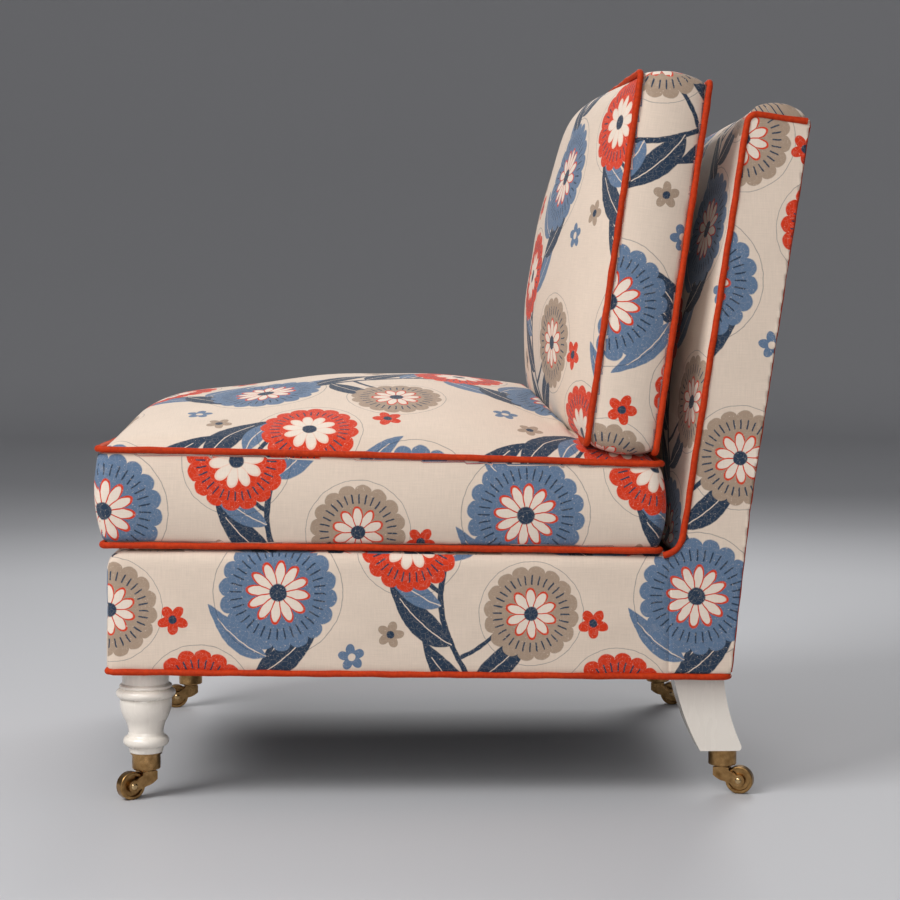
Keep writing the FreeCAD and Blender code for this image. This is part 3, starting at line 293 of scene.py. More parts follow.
colour = draft.lay(colour, given["Dark Ink"], mark)
colour = draft.lay(colour, given["Line Ink"], outline)
colour = draft.lay(colour, given["Petal Ink"], inner)
draft.join(draft.lay(colour, given["Dark Ink"], heart), result["Colour"])

# a bowed leaf from its foot, with a bare line down its middle
vine_leaf, draft, given, result = new_group(
    "vine_leaf",
    [("X", NUMBER), ("Y", NUMBER), ("Aim", NUMBER), ("Length", NUMBER), ("Width", NUMBER), ("Bow", NUMBER),
     ("Under", COLOUR), ("Ink", COLOUR), ("Vein", COLOUR)], [("Colour", COLOUR)])
share, off, within = along_bow(draft, given)
swell = draft.work("MULTIPLY", draft.work("SUBTRACT", share, draft.work("MULTIPLY", share, share)), 4)
swell = draft.work("POWER", draft.work("MAXIMUM", swell, 0), 0.8)
taper = draft.work("MULTIPLY_ADD", share, -0.35, 1)
wide = draft.work("MULTIPLY", draft.work("MULTIPLY", swell, taper), given["Width"])
leaf = draft.work("MULTIPLY", draft.edge(draft.work("SUBTRACT", wide, off), 0.0012), within)
vein = draft.work("MULTIPLY", draft.edge(draft.work("SUBTRACT", 0.0006, off), 0.0006), leaf)
vein = draft.work("MULTIPLY", vein, draft.work("LESS_THAN", share, 0.8))
colour = draft.lay(given["Under"], given["Ink"], leaf)
draft.join(draft.lay(colour, given["Vein"], vein), result["Colour"])

# a thin bowed stalk
vine_stalk, draft, given, result = new_group(
    "vine_stalk",
    [("X", NUMBER), ("Y", NUMBER), ("Aim", NUMBER), ("Length", NUMBER), ("Bow", NUMBER), ("Under", COLOUR),
     ("Ink", COLOUR)], [("Colour", COLOUR)])
share, off, within = along_bow(draft, given)
stalk = draft.work("MULTIPLY", draft.edge(draft.work("SUBTRACT", 0.0026, off), 0.001), within)
draft.join(draft.lay(given["Under"], given["Ink"], stalk), result["Colour"])

# a small five-petal filler
small_flower, draft, given, result = new_group(
    "small_flower",
    [("X", NUMBER), ("Y", NUMBER), ("Radius", NUMBER), ("Turn", NUMBER), ("Under", COLOUR), ("Ink", COLOUR),
     ("Eye", COLOUR)], [("Colour", COLOUR)])
radius, share, angle = round_middle(draft, given)
petal = draft.work("ABSOLUTE", draft.work("COSINE", draft.work("MULTIPLY", angle, 2.5)))
rim = draft.edge(draft.work("SUBTRACT", draft.work("MULTIPLY_ADD", petal, 0.45, 0.55), share), 0.05)
eye = draft.edge(draft.work("SUBTRACT", 0.28, share), 0.05)
colour = draft.lay(given["Under"], given["Ink"], rim)
draft.join(draft.lay(colour, given["Eye"], eye), result["Colour"])

# the whole design, on a map in metres
ground = (0.735, 0.60, 0.488, 1)
brick = (0.64, 0.036, 0.005, 1)
slate = (0.112, 0.176, 0.278, 1)
navy = (0.018, 0.038, 0.072, 1)
taupe = (0.38, 0.275, 0.198, 1)
shell_pink = (0.80, 0.58, 0.46, 1)
pale_petal = (0.80, 0.68, 0.57, 1)
flower_print, draft, given, result = new_group("flower_print", [("Map", VECTOR)], [("Colour", COLOUR)])
wobble = draft.node("ShaderNodeTexNoise")
wobble.inputs["Scale"].default_value = 90
wobble.inputs["Detail"].default_value = 1
draft.join(given["Map"], wobble.inputs["Vector"])
shift = draft.node("ShaderNodeVectorMath", operation="SUBTRACT")
draft.join(wobble.outputs["Color"], shift.inputs[0])
shift.inputs[1].default_value = (0.5, 0.5, 0.5)
moved = draft.node("ShaderNodeVectorMath", operation="MULTIPLY_ADD")
draft.join(shift.outputs[0], moved.inputs[0])
moved.inputs[1].default_value = (0.0022, 0.0022, 0)
draft.join(given["Map"], moved.inputs[2])
on_cloth = draft.parts_of(moved.outputs[0])


def motif(across, up):
    """The point's place from the nearest motif at that spot of the repeat."""
    spot = placed_group(draft, motif_spot, Across=on_cloth["X"], Up=on_cloth["Y"],
                        Motif_Across=across, Motif_Up=up)
    return {"X": spot["X"], "Y": spot["Y"]}


def vine_at(up):
    return vine_swing * math.sin(2 * math.pi * up / repeat_up)


spot = motif(0, 0)
sway = draft.work("SINE", draft.work("MULTIPLY", spot["Y"], 2 * math.pi / repeat_up))
off = draft.work("ABSOLUTE", draft.work("MULTIPLY_ADD", sway, -vine_swing, spot["X"]))
vine = draft.edge(draft.work("SUBTRACT", 0.0034, off), 0.001)
colour = draft.lay(ground, navy, vine)
for up, aim, length, width, bow, ink in (
        (-0.150, 152, 0.100, 0.0200, -0.30, navy), (-0.104, 160, 0.082, 0.0160, -0.30, slate),
        (0.176, 26, 0.098, 0.0190, 0.32, navy), (0.150, 152, 0.098, 0.0190, -0.34, navy),
        (0.120, 158, 0.070, 0.0140, -0.30, slate), (-0.050, 34, 0.098, 0.0190, 0.30, slate),
        (-0.004, 26, 0.104, 0.0200, 0.34, navy), (0.020, 158, 0.086, 0.0160, -0.36, slate)):
    colour = placed_group(draft, vine_leaf, **motif(vine_at(up), up), Aim=math.radians(aim), Length=length,
                          Width=width, Bow=bow, Under=colour, Ink=ink, Vein=ground)["Colour"]
for up, aim, length, bow in ((-0.088, 150, 0.07, -0.35), (-0.165, 20, 0.09, 0.45)):
    colour = placed_group(draft, vine_stalk, **motif(vine_at(up), up), Aim=math.radians(aim), Length=length,
                          Bow=bow, Under=colour, Ink=navy)["Colour"]
for across, up, radius, turn, lobes, petals, rim_ink, line_ink, petal_ink in (
        (0.024, 0.095, 0.069, 0.1, 18, 12, slate, brick, pale_petal),
        (-0.068, -0.030, 0.058, 0.5, 16, 10, brick, shell_pink, pale_petal),
        (0.074, -0.112, 0.056, 0.9, 16, 10, taupe, brick, pale_petal)):
    colour = placed_group(draft, flower_head, **motif(across, up), Radius=radius, Turn=turn, Lobes=lobes,
                          Petals=petals, Under=colour, Rim_Ink=rim_ink, Line_Ink=line_ink,
                          Petal_Ink=petal_ink, Dark_Ink=navy)["Colour"]
for across, up, radius, turn, ink, eye in (
        (-0.098, 0.062, 0.018, 0.3, brick, navy), (0.110, 0.020, 0.016, 0.8, slate, ground),
        (-0.090, -0.138, 0.016, 1.2, taupe, navy)):
    colour = placed_group(draft, small_flower, **motif(across, up), Radius=radius, Turn=turn, Under=colour,
                          Ink=ink, Eye=eye)["Colour"]
worn = draft.span(draft.noise(given["Map"], 420, 3), -3.9, 2.4)
worn = draft.work("MULTIPLY", draft.work("MAXIMUM", worn, 0), 0.8)
colour = draft.lay(colour, ground, draft.work("MINIMUM", worn, 0.6))
crazing = draft.node("ShaderNodeTexVoronoi", feature="DISTANCE_TO_EDGE")
crazing.inputs["Scale"].default_value = 150
draft.join(given["Map"], crazing.inputs["Vector"])
crazing = draft.edge(draft.work("SUBTRACT", 0.04, crazing.outputs["Distance"]), 0.03)
colour = draft.lay(colour, pale_petal, draft.work("MULTIPLY", crazing, 0.07))
draft.join(colour, result["Colour"])

# the plain weave: threads both ways, with thick and thin places
plain_weave, draft, given, result = new_group(
    "plain_weave", [("Map", VECTOR), ("Pitch", NUMBER)], [("Height", NUMBER), ("Slub", NUMBER)])
threads = draft.parts_of(given["Map"])
across = draft.work("SINE", draft.work("DIVIDE", threads["X"], given["Pitch"]))
up = draft.work("SINE", draft.work("DIVIDE", threads["Y"], given["Pitch"]))
draft.join(draft.work("MULTIPLY", across, up), result["Height"])
weft = draft.noise(given["Map"], 1.0, 2.0, (45, 900, 1))
warp = draft.noise(given["Map"], 1.0, 2.0, (900, 45, 1))
draft.join(draft.work("MULTIPLY", draft.work("ADD", weft, warp), 0.5), result["Slub"])

linen, draft, shader = new_material("printed_linen")
map_node = draft.node("ShaderNodeUVMap", uv_map="cloth")
colour = placed_group(draft, flower_print, Map=map_node.outputs["UV"])["Colour"]
weave = placed_group(draft, plain_weave, Map=map_node.outputs["UV"], Pitch=0.00016)
fade = draft.noise(map_node.outputs["UV"], 14, 3)
shade = draft.node("ShaderNodeHueSaturation")
draft.join(draft.work("MULTIPLY", draft.span(weave["Slub"], 0.84, 1.16), draft.span(fade, 0.94, 1.06)),
           shade.inputs["Value"])
draft.join(colour, shade.inputs["Color"])
draft.join(shade.outputs["Color"], shader["Base Color"])
shader["Roughness"].default_value = 0.82
shader["Specular IOR Level"].default_value = 0.25
shader["Sheen Weight"].default_value = 0.12
shader["Sheen Roughness"].default_value = 0.5
height = draft.work("MULTIPLY_ADD", weave["Height"], 0.35, weave["Slub"])
draft.join(draft.bump(height, 0.35, 0.0004), shader["Normal"])


# Upholstered base: linen over a thin layer of wadding on the hardwood rails, with a seam just behind each
# front corner, rolled top edges and its lower edge stapled under the frame.
rake, lean, lower_lean, pillow_lean = (math.radians(degrees) for degrees in (0.8, 8.4, 6, 8.1))
base_y, base_z = -0.402, 0.156
back_y, back_z = 0.276, 0.355
base_half, base_length, base_high = 0.328, 0.66, 0.1435


def place_of(origin, turn):
    """The frame of a raked or leaning part."""
    return Matrix.Translation(origin) @ Matrix.Rotation(turn, 4, "X")


base_place = place_of((0, base_y, base_z), -rake)
back_place = place_of((0, back_y, back_z), -lean)


def alone(piece):
    bpy.ops.object.select_all(action="DESELECT")
    piece.select_set(True)
    bpy.context.view_layer.objects.active = piece


def finish_modifiers(piece):
    alone(piece)
    for modifier in list(piece.modifiers):
        bpy.ops.object.modifier_apply(modifier=modifier.name)


def even_quads(piece, voxel):
    """Remeshes a closed shape to even quads, fine enough for soft cloth."""
    modifier = piece.modifiers.new("even_quads", "REMESH")
    modifier.mode = "VOXEL"
    modifier.voxel_size = voxel
    modifier.use_smooth_shade = True
    finish_modifiers(piece)


def reshape(piece, moved):
    """Puts each point where the rule says, from its place and normal."""
    points = [(vertex.co.copy(), vertex.normal.copy()) for vertex in piece.data.vertices]
    flat = []
    for spot, normal in points:
        flat.extend(moved(spot, normal))
    piece.data.vertices.foreach_set("co", flat)
    piece.data.update()


def move_out(piece, amount_at):
    """Moves each point along its normal by what the rule gives for its place and normal."""
    reshape(piece, lambda spot, normal: spot + normal * amount_at(spot, normal))


def share_of(amount, low, high):
    """How far an amount has come from one value to another, held between zero and one."""
    return max(0.0, min(1.0, (amount - low) / (high - low)))


def map_cloth(piece, lay_flat):
    """The cloth's map in metres: the rule gives (across, up) from a point and its face's normal."""
    layer = piece.data.uv_layers.get("cloth") or piece.data.uv_layers.new(name="cloth")
    points = [vertex.co.copy() for vertex in piece.data.vertices]
    flat = []
    for face in piece.data.polygons:
        for corner in face.vertices:
            flat.extend(lay_flat(points[corner], face.normal))
    layer.data.foreach_set("uv", flat)


def settle(piece, place):
    """Moves a mesh from the frame that it was made in to the chair's."""
    piece.data.transform(place)
    piece.data.update()


def dress(piece, material, slot, body, *nodes):
    piece.data.materials.clear()
    piece.data.materials.append(material)
    alone(piece)
    bpy.ops.object.shade_smooth()
    if nodes:
        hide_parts(*nodes)
    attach(piece, body)


bpy.ops.object.select_all(action="DESELECT")
bpy.ops.mesh.primitive_cube_add(size=1, location=(0, base_length / 2, base_high / 2),
                                scale=(2 * base_half, base_length, base_high))
base_cover = bpy.context.active_object
base_cover.name = "base_cover"
bpy.ops.object.transform_apply(location=True, rotation=True, scale=True)
weights = base_cover.data.attributes.new("bevel_weight_edge", "FLOAT", "EDGE")
for edge in base_cover.data.edges:
    ends = [base_cover.data.vertices[k].co for k in edge.vertices]
    middle = (ends[0] + ends[1]) / 2
    if middle.z > base_high - 0.001 and middle.y < 0.001:
        weights.data[edge.index].value = 1.0
    elif middle.z > base_high - 0.001 and abs(middle.x) > base_half - 0.001:
        weights.data[edge.index].value = 0.7
    elif abs(middle.x) > base_half - 0.001 and middle.y < 0.001:
        weights.data[edge.index].value = 0.45
rolls = base_cover.modifiers.new("rolls", "BEVEL")
rolls.limit_method = "WEIGHT"
rolls.width = 0.022
rolls.segments = 8
even_quads(base_cover, 0.005)


def base_fullness(spot, normal):
    along = max(0.0, math.sin(math.pi * spot.y / base_length))
    up = max(0.0, math.sin(math.pi * min(1.0, spot.z / base_high)))
    across = max(0.0, math.cos(math.pi * spot.x / (2 * base_half)))
    ripple = 0.0004 * math.sin(spot.x * 61 + spot.y * 47 + 2 * math.sin(spot.z * 70))
    if abs(normal.x) > 0.8:
        seam = math.exp(-((spot.y - 0.009) / 0.002) ** 2)
        return 0.0016 * (along * up) ** 0.5 + ripple * up - 0.0014 * seam
    if normal.y < -0.8:
        return 0.0016 * (across * up) ** 0.5 + ripple * up
    return 0.0


side_map_across, side_map_up = 0.07, 0.185


def base_map(spot, normal):
    if abs(normal.x) > 0.55:
        return math.copysign(1, normal.x) * spot.y + side_map_across, spot.z + side_map_up
    if normal.y < -0.55:
        return spot.x + 0.5, spot.z + side_map_up
    return spot.x + 0.2, spot.y + 0.2


move_out(base_cover, base_fullness)
map_cloth(base_cover, base_map)
settle(base_cover, base_place)
dress(base_cover, linen, "printed_linen", "chair_frame", "base_front_cover", "base_side_cover_left",
      "base_side_cover_right", "seat_deck_cover", "seat_padding")


# Padded back: a crowned inside back pulled over the top rail, flat facings sewn on at both sides and a
# flat outside back, all in printed linen over wadding on the leaning frame.
def copy_of(node, name):
    """A CAD solid's shape as a new closed mesh, its loose triangles joined."""
    piece = bpy.data.objects.new(name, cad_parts[node].data.copy())
    bpy.context.scene.collection.objects.link(piece)
    piece.data.materials.clear()
    alone(piece)
    bpy.ops.object.mode_set(mode="EDIT")
    bpy.ops.mesh.select_all(action="SELECT")
    bpy.ops.mesh.remove_doubles(threshold=0.00001)
    bpy.ops.object.mode_set(mode="OBJECT")
    return piece


back_deep, back_high = 0.073, 0.456
to_back = back_place.inverted()
bend_y, bend_z = back_y + back_deep * math.cos(lean), back_z - back_deep * math.sin(lean)


def rear_plane(height):
    """How far back the outside back stands at a height: it leans less below its bend."""
    rise = height - bend_z
    return bend_y + rise * math.tan(lean if rise > 0 else lower_lean)


for side, sign in (("left", 1), ("right", -1)):
    facing = copy_of(f"back_facing_{side}", f"facing_panel_{side}")
    even_quads(facing, 0.0025)

    def facing_map(spot, normal):
        along = spot.y - base_y
        return sign * along + side_map_across, spot.z - base_z + side_map_up + along * math.sin(rake)

    def facing_fullness(spot, normal):
        if abs(normal.x) < 0.8:
            return 0.0012 if normal.y > 0.5 else 0.0
        seam = math.exp(-((spot.y - 0.2535) / 0.002) ** 2)
        return 0.0004 * math.sin(spot.z * 43 + spot.y * 50) - 0.0018 * seam

    def round_corner(spot, normal):
        """The panel turns round the rear corner, over the cord's groove."""
        rear = rear_plane(spot.z)
        reach = share_of(spot.y, rear - 0.028, rear - 0.008)
        spot.y = min(max(spot.y, rear + 0.0006), spot.y + 0.0066 * reach)
        return spot

    move_out(facing, facing_fullness)
    reshape(facing, round_corner)
    map_cloth(facing, facing_map)
    dress(facing, linen, "printed_linen", "chair_frame", f"back_facing_{side}")


filling_frames = 20


def swell(piece, pinned, pressure, limit):
    """Blows a closed pad up from inside with its seams held, then keeps each point near its start."""
    held = piece.vertex_groups.new(name="held")
    starts = [vertex.co.copy() for vertex in piece.data.vertices]
    for index, spot in enumerate(starts):
        if pinned(spot):
            held.add([index], 1.0, "REPLACE")
    cloth = piece.modifiers.new("filling", "CLOTH")
    cloth.settings.quality = 4
    cloth.settings.mass = 0.3
    cloth.settings.tension_stiffness = 25
    cloth.settings.compression_stiffness = 25
    cloth.settings.bending_stiffness = 1.2
    cloth.settings.use_pressure = True
    cloth.settings.uniform_pressure_force = pressure
    cloth.settings.vertex_group_mass = "held"
    cloth.settings.effector_weights.gravity = 0
    cloth.point_cache.frame_end = filling_frames
    scene = bpy.context.scene
    for step in range(1, filling_frames + 1):
        scene.frame_set(step)
    finish_modifiers(piece)
    scene.frame_set(1)
    flat = []
    for vertex, start in zip(piece.data.vertices, starts):
        shift = vertex.co - start
        if shift.length > limit:
            shift = shift.normalized() * limit
        flat.extend(start + shift)
    piece.data.vertices.foreach_set("co", flat)
    piece.data.update()


inside_back = copy_of("back_padding", "inside_back")
even_quads(inside_back, 0.005)


def back_fullness(spot, normal):
    local = to_back @ spot
    if normal.z > 0.5 and local.z > 0.44:
        share = share_of(local.y, 0, back_deep)
        return 0.003 + 0.002 * math.sin(math.pi * share)
    return 0.004 if normal.y < 0.3 else 0.002


move_out(inside_back, back_fullness)
swell(inside_back, lambda spot: abs(spot.x) > 0.314 or (to_back @ spot).y > 0.06, 3.0, 0.005)


def over_rail(spot, normal):
    """The cloth rolls over the top rail and stands over the facings' seams."""
    local = to_back @ spot
    over = share_of(local.z, 0.440, 0.454)
    roll = over * math.sin(math.pi * share_of(local.y, -0.004, 0.080)) ** 0.5
    end = share_of(abs(local.x), 0.300, 0.320)
    local.z += roll * (0.006 + 0.0075 * end)
    local.x += math.copysign(0.0045 * roll * end, local.x)
    return back_place @ local


def inside_back_map(spot, normal):
    local = to_back @ spot
    return spot.x + 0.03, local.z + max(0.0, local.y) + 0.33


reshape(inside_back, over_rail)
map_cloth(inside_back, inside_back_map)
dress(inside_back, linen, "printed_linen", "chair_frame", "inside_back_cover", "back_padding")

outside_back = copy_of("outside_back_cover", "outside_back")
even_quads(outside_back, 0.004)
move_out(outside_back, lambda spot, normal: 0.0015 if normal.y > 0.7 and abs(spot.x) < 0.3 else 0.0)
map_cloth(outside_back, lambda spot, normal: (-spot.x + 0.11, spot.z + 0.08))
dress(outside_back, linen, "printed_linen", "chair_frame", "outside_back_cover")


# Welts: cotton cord wrapped in burnt orange cotton velvet and sewn into every seam that shows.
orange_velvet, draft, shader = new_material("orange_velvet")
coordinates = draft.here()
nap = draft.noise(coordinates, 260, 3)
patches = draft.noise(coordinates, 26, 2)
colour = draft.lay((0.27, 0.011, 0.001, 1), (0.54, 0.040, 0.003, 1),
                   draft.work("MULTIPLY", draft.span(nap, 0.1, 1.5), draft.span(patches, 0.55, 1.35)))
draft.join(colour, shader["Base Color"])
shader["Roughness"].default_value = 0.7
shader["Specular IOR Level"].default_value = 0.2
shader["Sheen Weight"].default_value = 0.14
shader["Sheen Roughness"].default_value = 0.35
shader["Sheen Tint"].default_value = (1.0, 0.32, 0.12, 1)
draft.join(draft.bump(nap, 0.4, 0.0006), shader["Normal"])

welt_radius, welt_in = 0.0038, 0.001


def welt(name, points, closed, place, body, node):
    """A cord along a seam's points, with the small unevenness of hand-fed piping."""
    line = bpy.data.curves.new(name, "CURVE")
    line.dimensions = "3D"
    line.bevel_depth = welt_radius
    line.bevel_resolution = 4
    line.use_fill_caps = not closed
    spline = line.splines.new("POLY")
    spline.points.add(len(points) - 1)
    for k, (point, spot) in enumerate(zip(spline.points, points)):
        uneven = 0.00022 * math.sin(k * 1.7) + 0.00018 * math.sin(k * 0.61)
        point.co = (spot.x + uneven, spot.y + uneven, spot.z + uneven, 1)
        point.radius = 1 + 0.05 * math.sin(k * 0.9)
    spline.use_cyclic_u = closed
    piece = bpy.data.objects.new(name, line)
    bpy.context.scene.collection.objects.link(piece)
    alone(piece)
    bpy.ops.object.convert(target="MESH")
    settle(piece, place)
    dress(piece, orange_velvet, "welt", body, node)


def spaced(points, closed, pitch=0.011):
    """The same line with points at an even pitch along its long runs."""
    count = len(points)
    line = []
    for k in range(count if closed else count - 1):
        start, end = points[k], points[(k + 1) % count]
        steps = max(1, round((end - start).length / pitch))
        line += [start.lerp(end, j / steps) for j in range(steps)]
    if not closed:
        line.append(points[-1])
    return line


def corner_arc(before, corner, after, radius, steps=6):
    """Points round a corner, tangent to both of its runs."""
    back = (before - corner).normalized()
    on = (after - corner).normalized()
    half = back.angle(on) / 2
    reach = radius / math.tan(half)
    centre = corner + (back + on).normalized() * (radius / math.sin(half))
    start = corner + back * reach - centre
    end = corner + on * reach - centre
    return [centre + (start.lerp(end, k / steps)).normalized() * radius for k in range(steps + 1)]


base_rear = (rear_plane(base_z) - base_y) / math.cos(rake)
side, rear = base_half - welt_in, base_rear - welt_in
corners = [Vector((-side, welt_in, 0)), Vector((side, welt_in, 0)), Vector((side, rear, 0)),
           Vector((-side, rear, 0))]
line = []
for k in range(4):
    line += corner_arc(corners[k - 1], corners[k], corners[(k + 1) % 4], 0.010)
welt("base_welt_cord", spaced(line, True), True, base_place, "chair_frame", "base_welt")

# the cords round the facings: out of the seat's crease, up the front edge and over the top
deck_near = to_back @ (base_place @ Vector((0, 0, base_high)))
deck_far = to_back @ (base_place @ Vector((0, 0.7, base_high)))
deck_along = (deck_far - deck_near).normalized()
deck_corner = deck_near - deck_along * (deck_near.y / deck_along.y)
sweep = 0.026
upright = Vector((0, 0, 1))
reach = sweep * math.tan(deck_along.angle(upright) / 2)
sweep_centre = deck_corner + upright * reach + Vector((0, -sweep, 0))
sweep_start = (deck_corner - deck_along * reach - sweep_centre).normalized()
sweep_end = (deck_corner + upright * reach - sweep_centre).normalized()
facing_line = [sweep_centre + sweep_start.slerp(sweep_end, 0.1 + 0.9 * k / 9) * (sweep + welt_in)
               for k in range(10)]
facing_top = 0.4535
top_front = Vector((0, welt_in, facing_top))
top_rear = Vector((0, 0.070, facing_top))
facing_line += corner_arc(facing_line[-1], top_front, top_rear, 0.012) + [top_rear]
for side, x in (("left", base_half - welt_in), ("right", welt_in - base_half)):
    line = [spot + Vector((x, 0, 0)) for spot in facing_line]
    welt(f"facing_cord_{side}", spaced(line, False), False, back_place, "chair_frame", f"facing_welt_{side}")

# the cord round the outside back
rear_in, rear_side = 0.0004, 0.3185
bend = Vector((rear_side, bend_y - rear_in, bend_z))
low_z = base_z - base_rear * math.sin(rake) + 0.005
low = Vector((rear_side, bend.y - (bend.z - low_z) * math.tan(lower_lean), low_z))
high = back_place @ Vector((rear_side, back_deep - rear_in, back_high - rear_in))
mirrored = [Vector((-spot.x, spot.y, spot.z)) for spot in (high, bend, low)]
line = [low] + corner_arc(low, bend, high, 0.4) + corner_arc(bend, high, mirrored[0], 0.009)
line += corner_arc(high, mirrored[0], mirrored[1], 0.009)
line += corner_arc(mirrored[0], mirrored[1], mirrored[2], 0.4) + [mirrored[2]]
welt("outside_back_cord", spaced(line, False), False, Matrix.Identity(4), "chair_frame", "outside_back_welt")


# Loose cushions: a foam core wrapped in feather, in boxed linen covers with a welt in both seams. The
# seat cushion is crowned and carries the foot of the back cushion, which leans on the inside back.
seat_place = base_place @ Matrix.Translation((0, -0.008, 0.1478))
pillow_place = place_of((0, 0.238, 0.407), math.radians(90) - pillow_lean)
cushion_half, draw_in, corner_cut = 0.326, 0.005, 0.013
seat_length, seat_deep, seat_front = 0.655, 0.111, 0.101
pillow_length, pillow_deep = 0.438, 0.081
seat_rise = -(seat_deep - seat_front) / seat_length


def seam_line(length, level, rise):
    """A cushion's seam: four sides drawn in a little between rounded corners, at a height over y."""
    half = cushion_half - welt_in
    near, far = welt_in, length - welt_in
    corners = [Vector((-half, near, 0)), Vector((half, near, 0)), Vector((half, far, 0)),
               Vector((-half, far, 0))]
    pulls = [Vector((0, 1, 0)), Vector((-1, 0, 0)), Vector((0, -1, 0)), Vector((1, 0, 0))]
    count = 56
    line = []
    for k in range(4):
        start, end, after = corners[k], corners[(k + 1) % 4], corners[(k + 2) % 4]
        trim = corner_cut / (end - start).length
        for j in range(count + 1):
            share = trim + (1 - 2 * trim) * j / count
            line.append(start.lerp(end, share) + pulls[k] * draw_in * 4 * share * (1 - share))
        end_spot = line[-1]
        next_pull = pulls[(k + 1) % 4]
        next_trim = corner_cut / (after - end).length
        next_start = end.lerp(after, next_trim) + next_pull * draw_in * 4 * next_trim
        corner = end + (pulls[k] + next_pull) * 0.0004
        for share in (0.25, 0.5, 0.75):
            line.append(end_spot * (1 - share) ** 2 + corner * 2 * share * (1 - share)
                        + next_start * share ** 2)
    return [Vector((spot.x, spot.y, level + rise * spot.y)) for spot in line]


def full_seat(spot):
    """The seat cushion's top front edge pushed forward, and its crown raised behind the top seam."""
    level = max(0.0, min(1.2, spot.z / seat_deep))
    inner = max(0.0, min(cushion_half - abs(spot.x), spot.y, seat_length - spot.y))
    lift = 0.0
    if spot.z > 0.085:
        lift = min(1.0, inner / 0.028) * (0.004 + 0.006 * math.exp(-((inner - 0.04) / 0.09) ** 2))
    return Vector((spot.x, spot.y - 0.006 * level * math.exp(-max(0.0, spot.y) / 0.07), spot.z + lift))


def full_pillow(spot):
    """The back cushion's top front edge bowed forward between its corners."""
    level = max(0.0, min(1.2, spot.z / pillow_deep))
    bow = max(0.0, math.cos(math.pi * spot.x / (2 * cushion_half)))
    near_top = math.exp(-max(0.0, pillow_length - spot.y) / 0.06)
    return Vector((spot.x, spot.y, spot.z + 0.014 * level * bow * near_top))


def cushion(name, place, length, depth, rise, shift, fuller):
    """A cushion pad from its core's shape, blown up between its held seams, mapped panel by panel."""
    pad = copy_of(f"{name}_core", f"{name}_pad")
    even_quads(pad, 0.006)
    settle(pad, place.inverted())

    def top_level(spot):
        return depth + rise * spot.y

    def near_edge(spot):
        return min(cushion_half - abs(spot.x), spot.y, length - spot.y)

    def seams(spot):
        at_level = abs(spot.z) < 0.006 or abs(spot.z - top_level(spot)) < 0.006
        return at_level and near_edge(spot) < 0.012

    def fullness(spot, normal):
        if near_edge(spot) < 0.03 and -0.004 < spot.z < top_level(spot) + 0.004:
            share = share_of(spot.z, 0, top_level(spot))
            return 0.0028 + 0.0032 * math.sin(math.pi * share)
        return 0.0036

    def cushion_map(spot, normal):
        inside = 0.004 < spot.z < top_level(spot) - 0.004
        if near_edge(spot) < 0.02 and inside:
            if abs(normal.x) > abs(normal.y):
                around = spot.y if normal.x > 0 else -2 * cushion_half - spot.y
            elif normal.y < 0:
                around = spot.x - cushion_half
            else:
                around = length + cushion_half - spot.x
            return around + shift[0], spot.z + shift[1]
        return spot.x + shift[2], spot.y + shift[3]

    move_out(pad, fullness)
    swell(pad, seams, 3.5, 0.006)
    reshape(pad, lambda spot, normal: fuller(spot))
    finer = pad.modifiers.new("finer", "SUBSURF")
    finer.levels = finer.render_levels = 1
    finish_modifiers(pad)
    map_cloth(pad, cushion_map)
    settle(pad, place)
    dress(pad, linen, "printed_linen", name, f"{name}_cover", f"{name}_core")


cushion("seat_cushion", seat_place, seat_length, seat_deep, seat_rise, (0.02, 0.055, 0.14, 0.10), full_seat)
cushion("back_cushion", pillow_place, pillow_length, pillow_deep, 0.0, (0.10, 0.20, 0.14, 0.33), full_pillow)
for name, place, length, fuller, seams in (
        ("seat_cushion", seat_place, seat_length, full_seat,
         (("bottom", 0.0, 0.0), ("top", seat_deep, seat_rise))),
        ("back_cushion", pillow_place, pillow_length, full_pillow,
         (("rear", 0.0, 0.0), ("front", pillow_deep, 0.0)))):
    for seam, level, rise in seams:
        line = [fuller(spot) for spot in seam_line(length, level, rise)]
        welt(f"{name}_{seam}_cord", line, True, place, name, f"{name}_{seam}_welt")


# Turned front legs and sabre rear legs in gesso and off-white lacquer rubbed to a soft gloss, screwed to
# the corner blocks with hanger bolts.
def finish_node(node, material):
    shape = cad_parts[node]
    shape.data.materials.clear()
    shape.data.materials.append(material)


white_lacquer, draft, shader = new_material("white_lacquer")
coordinates = draft.here()
brushed = draft.noise(coordinates, 60, 3, (1, 1, 0.25))
clouds = draft.noise(coordinates, 9, 2)
colour = draft.lay((0.82, 0.745, 0.655, 1), (0.90, 0.83, 0.745, 1), draft.span(clouds, 0.0, 1.0))
draft.join(colour, shader["Base Color"])
draft.join(draft.span(brushed, 0.20, 0.34), shader["Roughness"])
shader["Coat Weight"].default_value = 0.4
shader["Coat Roughness"].default_value = 0.15
draft.join(draft.bump(brushed, 0.05, 0.0004), shader["Normal"])
for node in ("front_leg_left", "front_leg_right", "rear_leg_left", "rear_leg_right"):
    finish_node(node, white_lacquer)


# Casters: cast and turned brass with an aged lacquer of uneven tone, rubbed bright on the axle heads. The
# cup is pinned into the leg, the horn turns in it and the wheel on its axle.
def brass(name, dark, light, rough_low, rough_high):
    material, draft, shader = new_material(name)
    coordinates = draft.here()
    stain = draft.noise(coordinates, 130, 4)
    grain = draft.noise(coordinates, 700, 2)
    draft.join(draft.lay(dark, light, draft.span(stain, -0.4, 1.4)), shader["Base Color"])
    shader["Metallic"].default_value = 1
    draft.join(draft.span(stain, rough_low, rough_high), shader["Roughness"])
    draft.join(draft.bump(grain, 0.08, 0.0003), shader["Normal"])
    return material


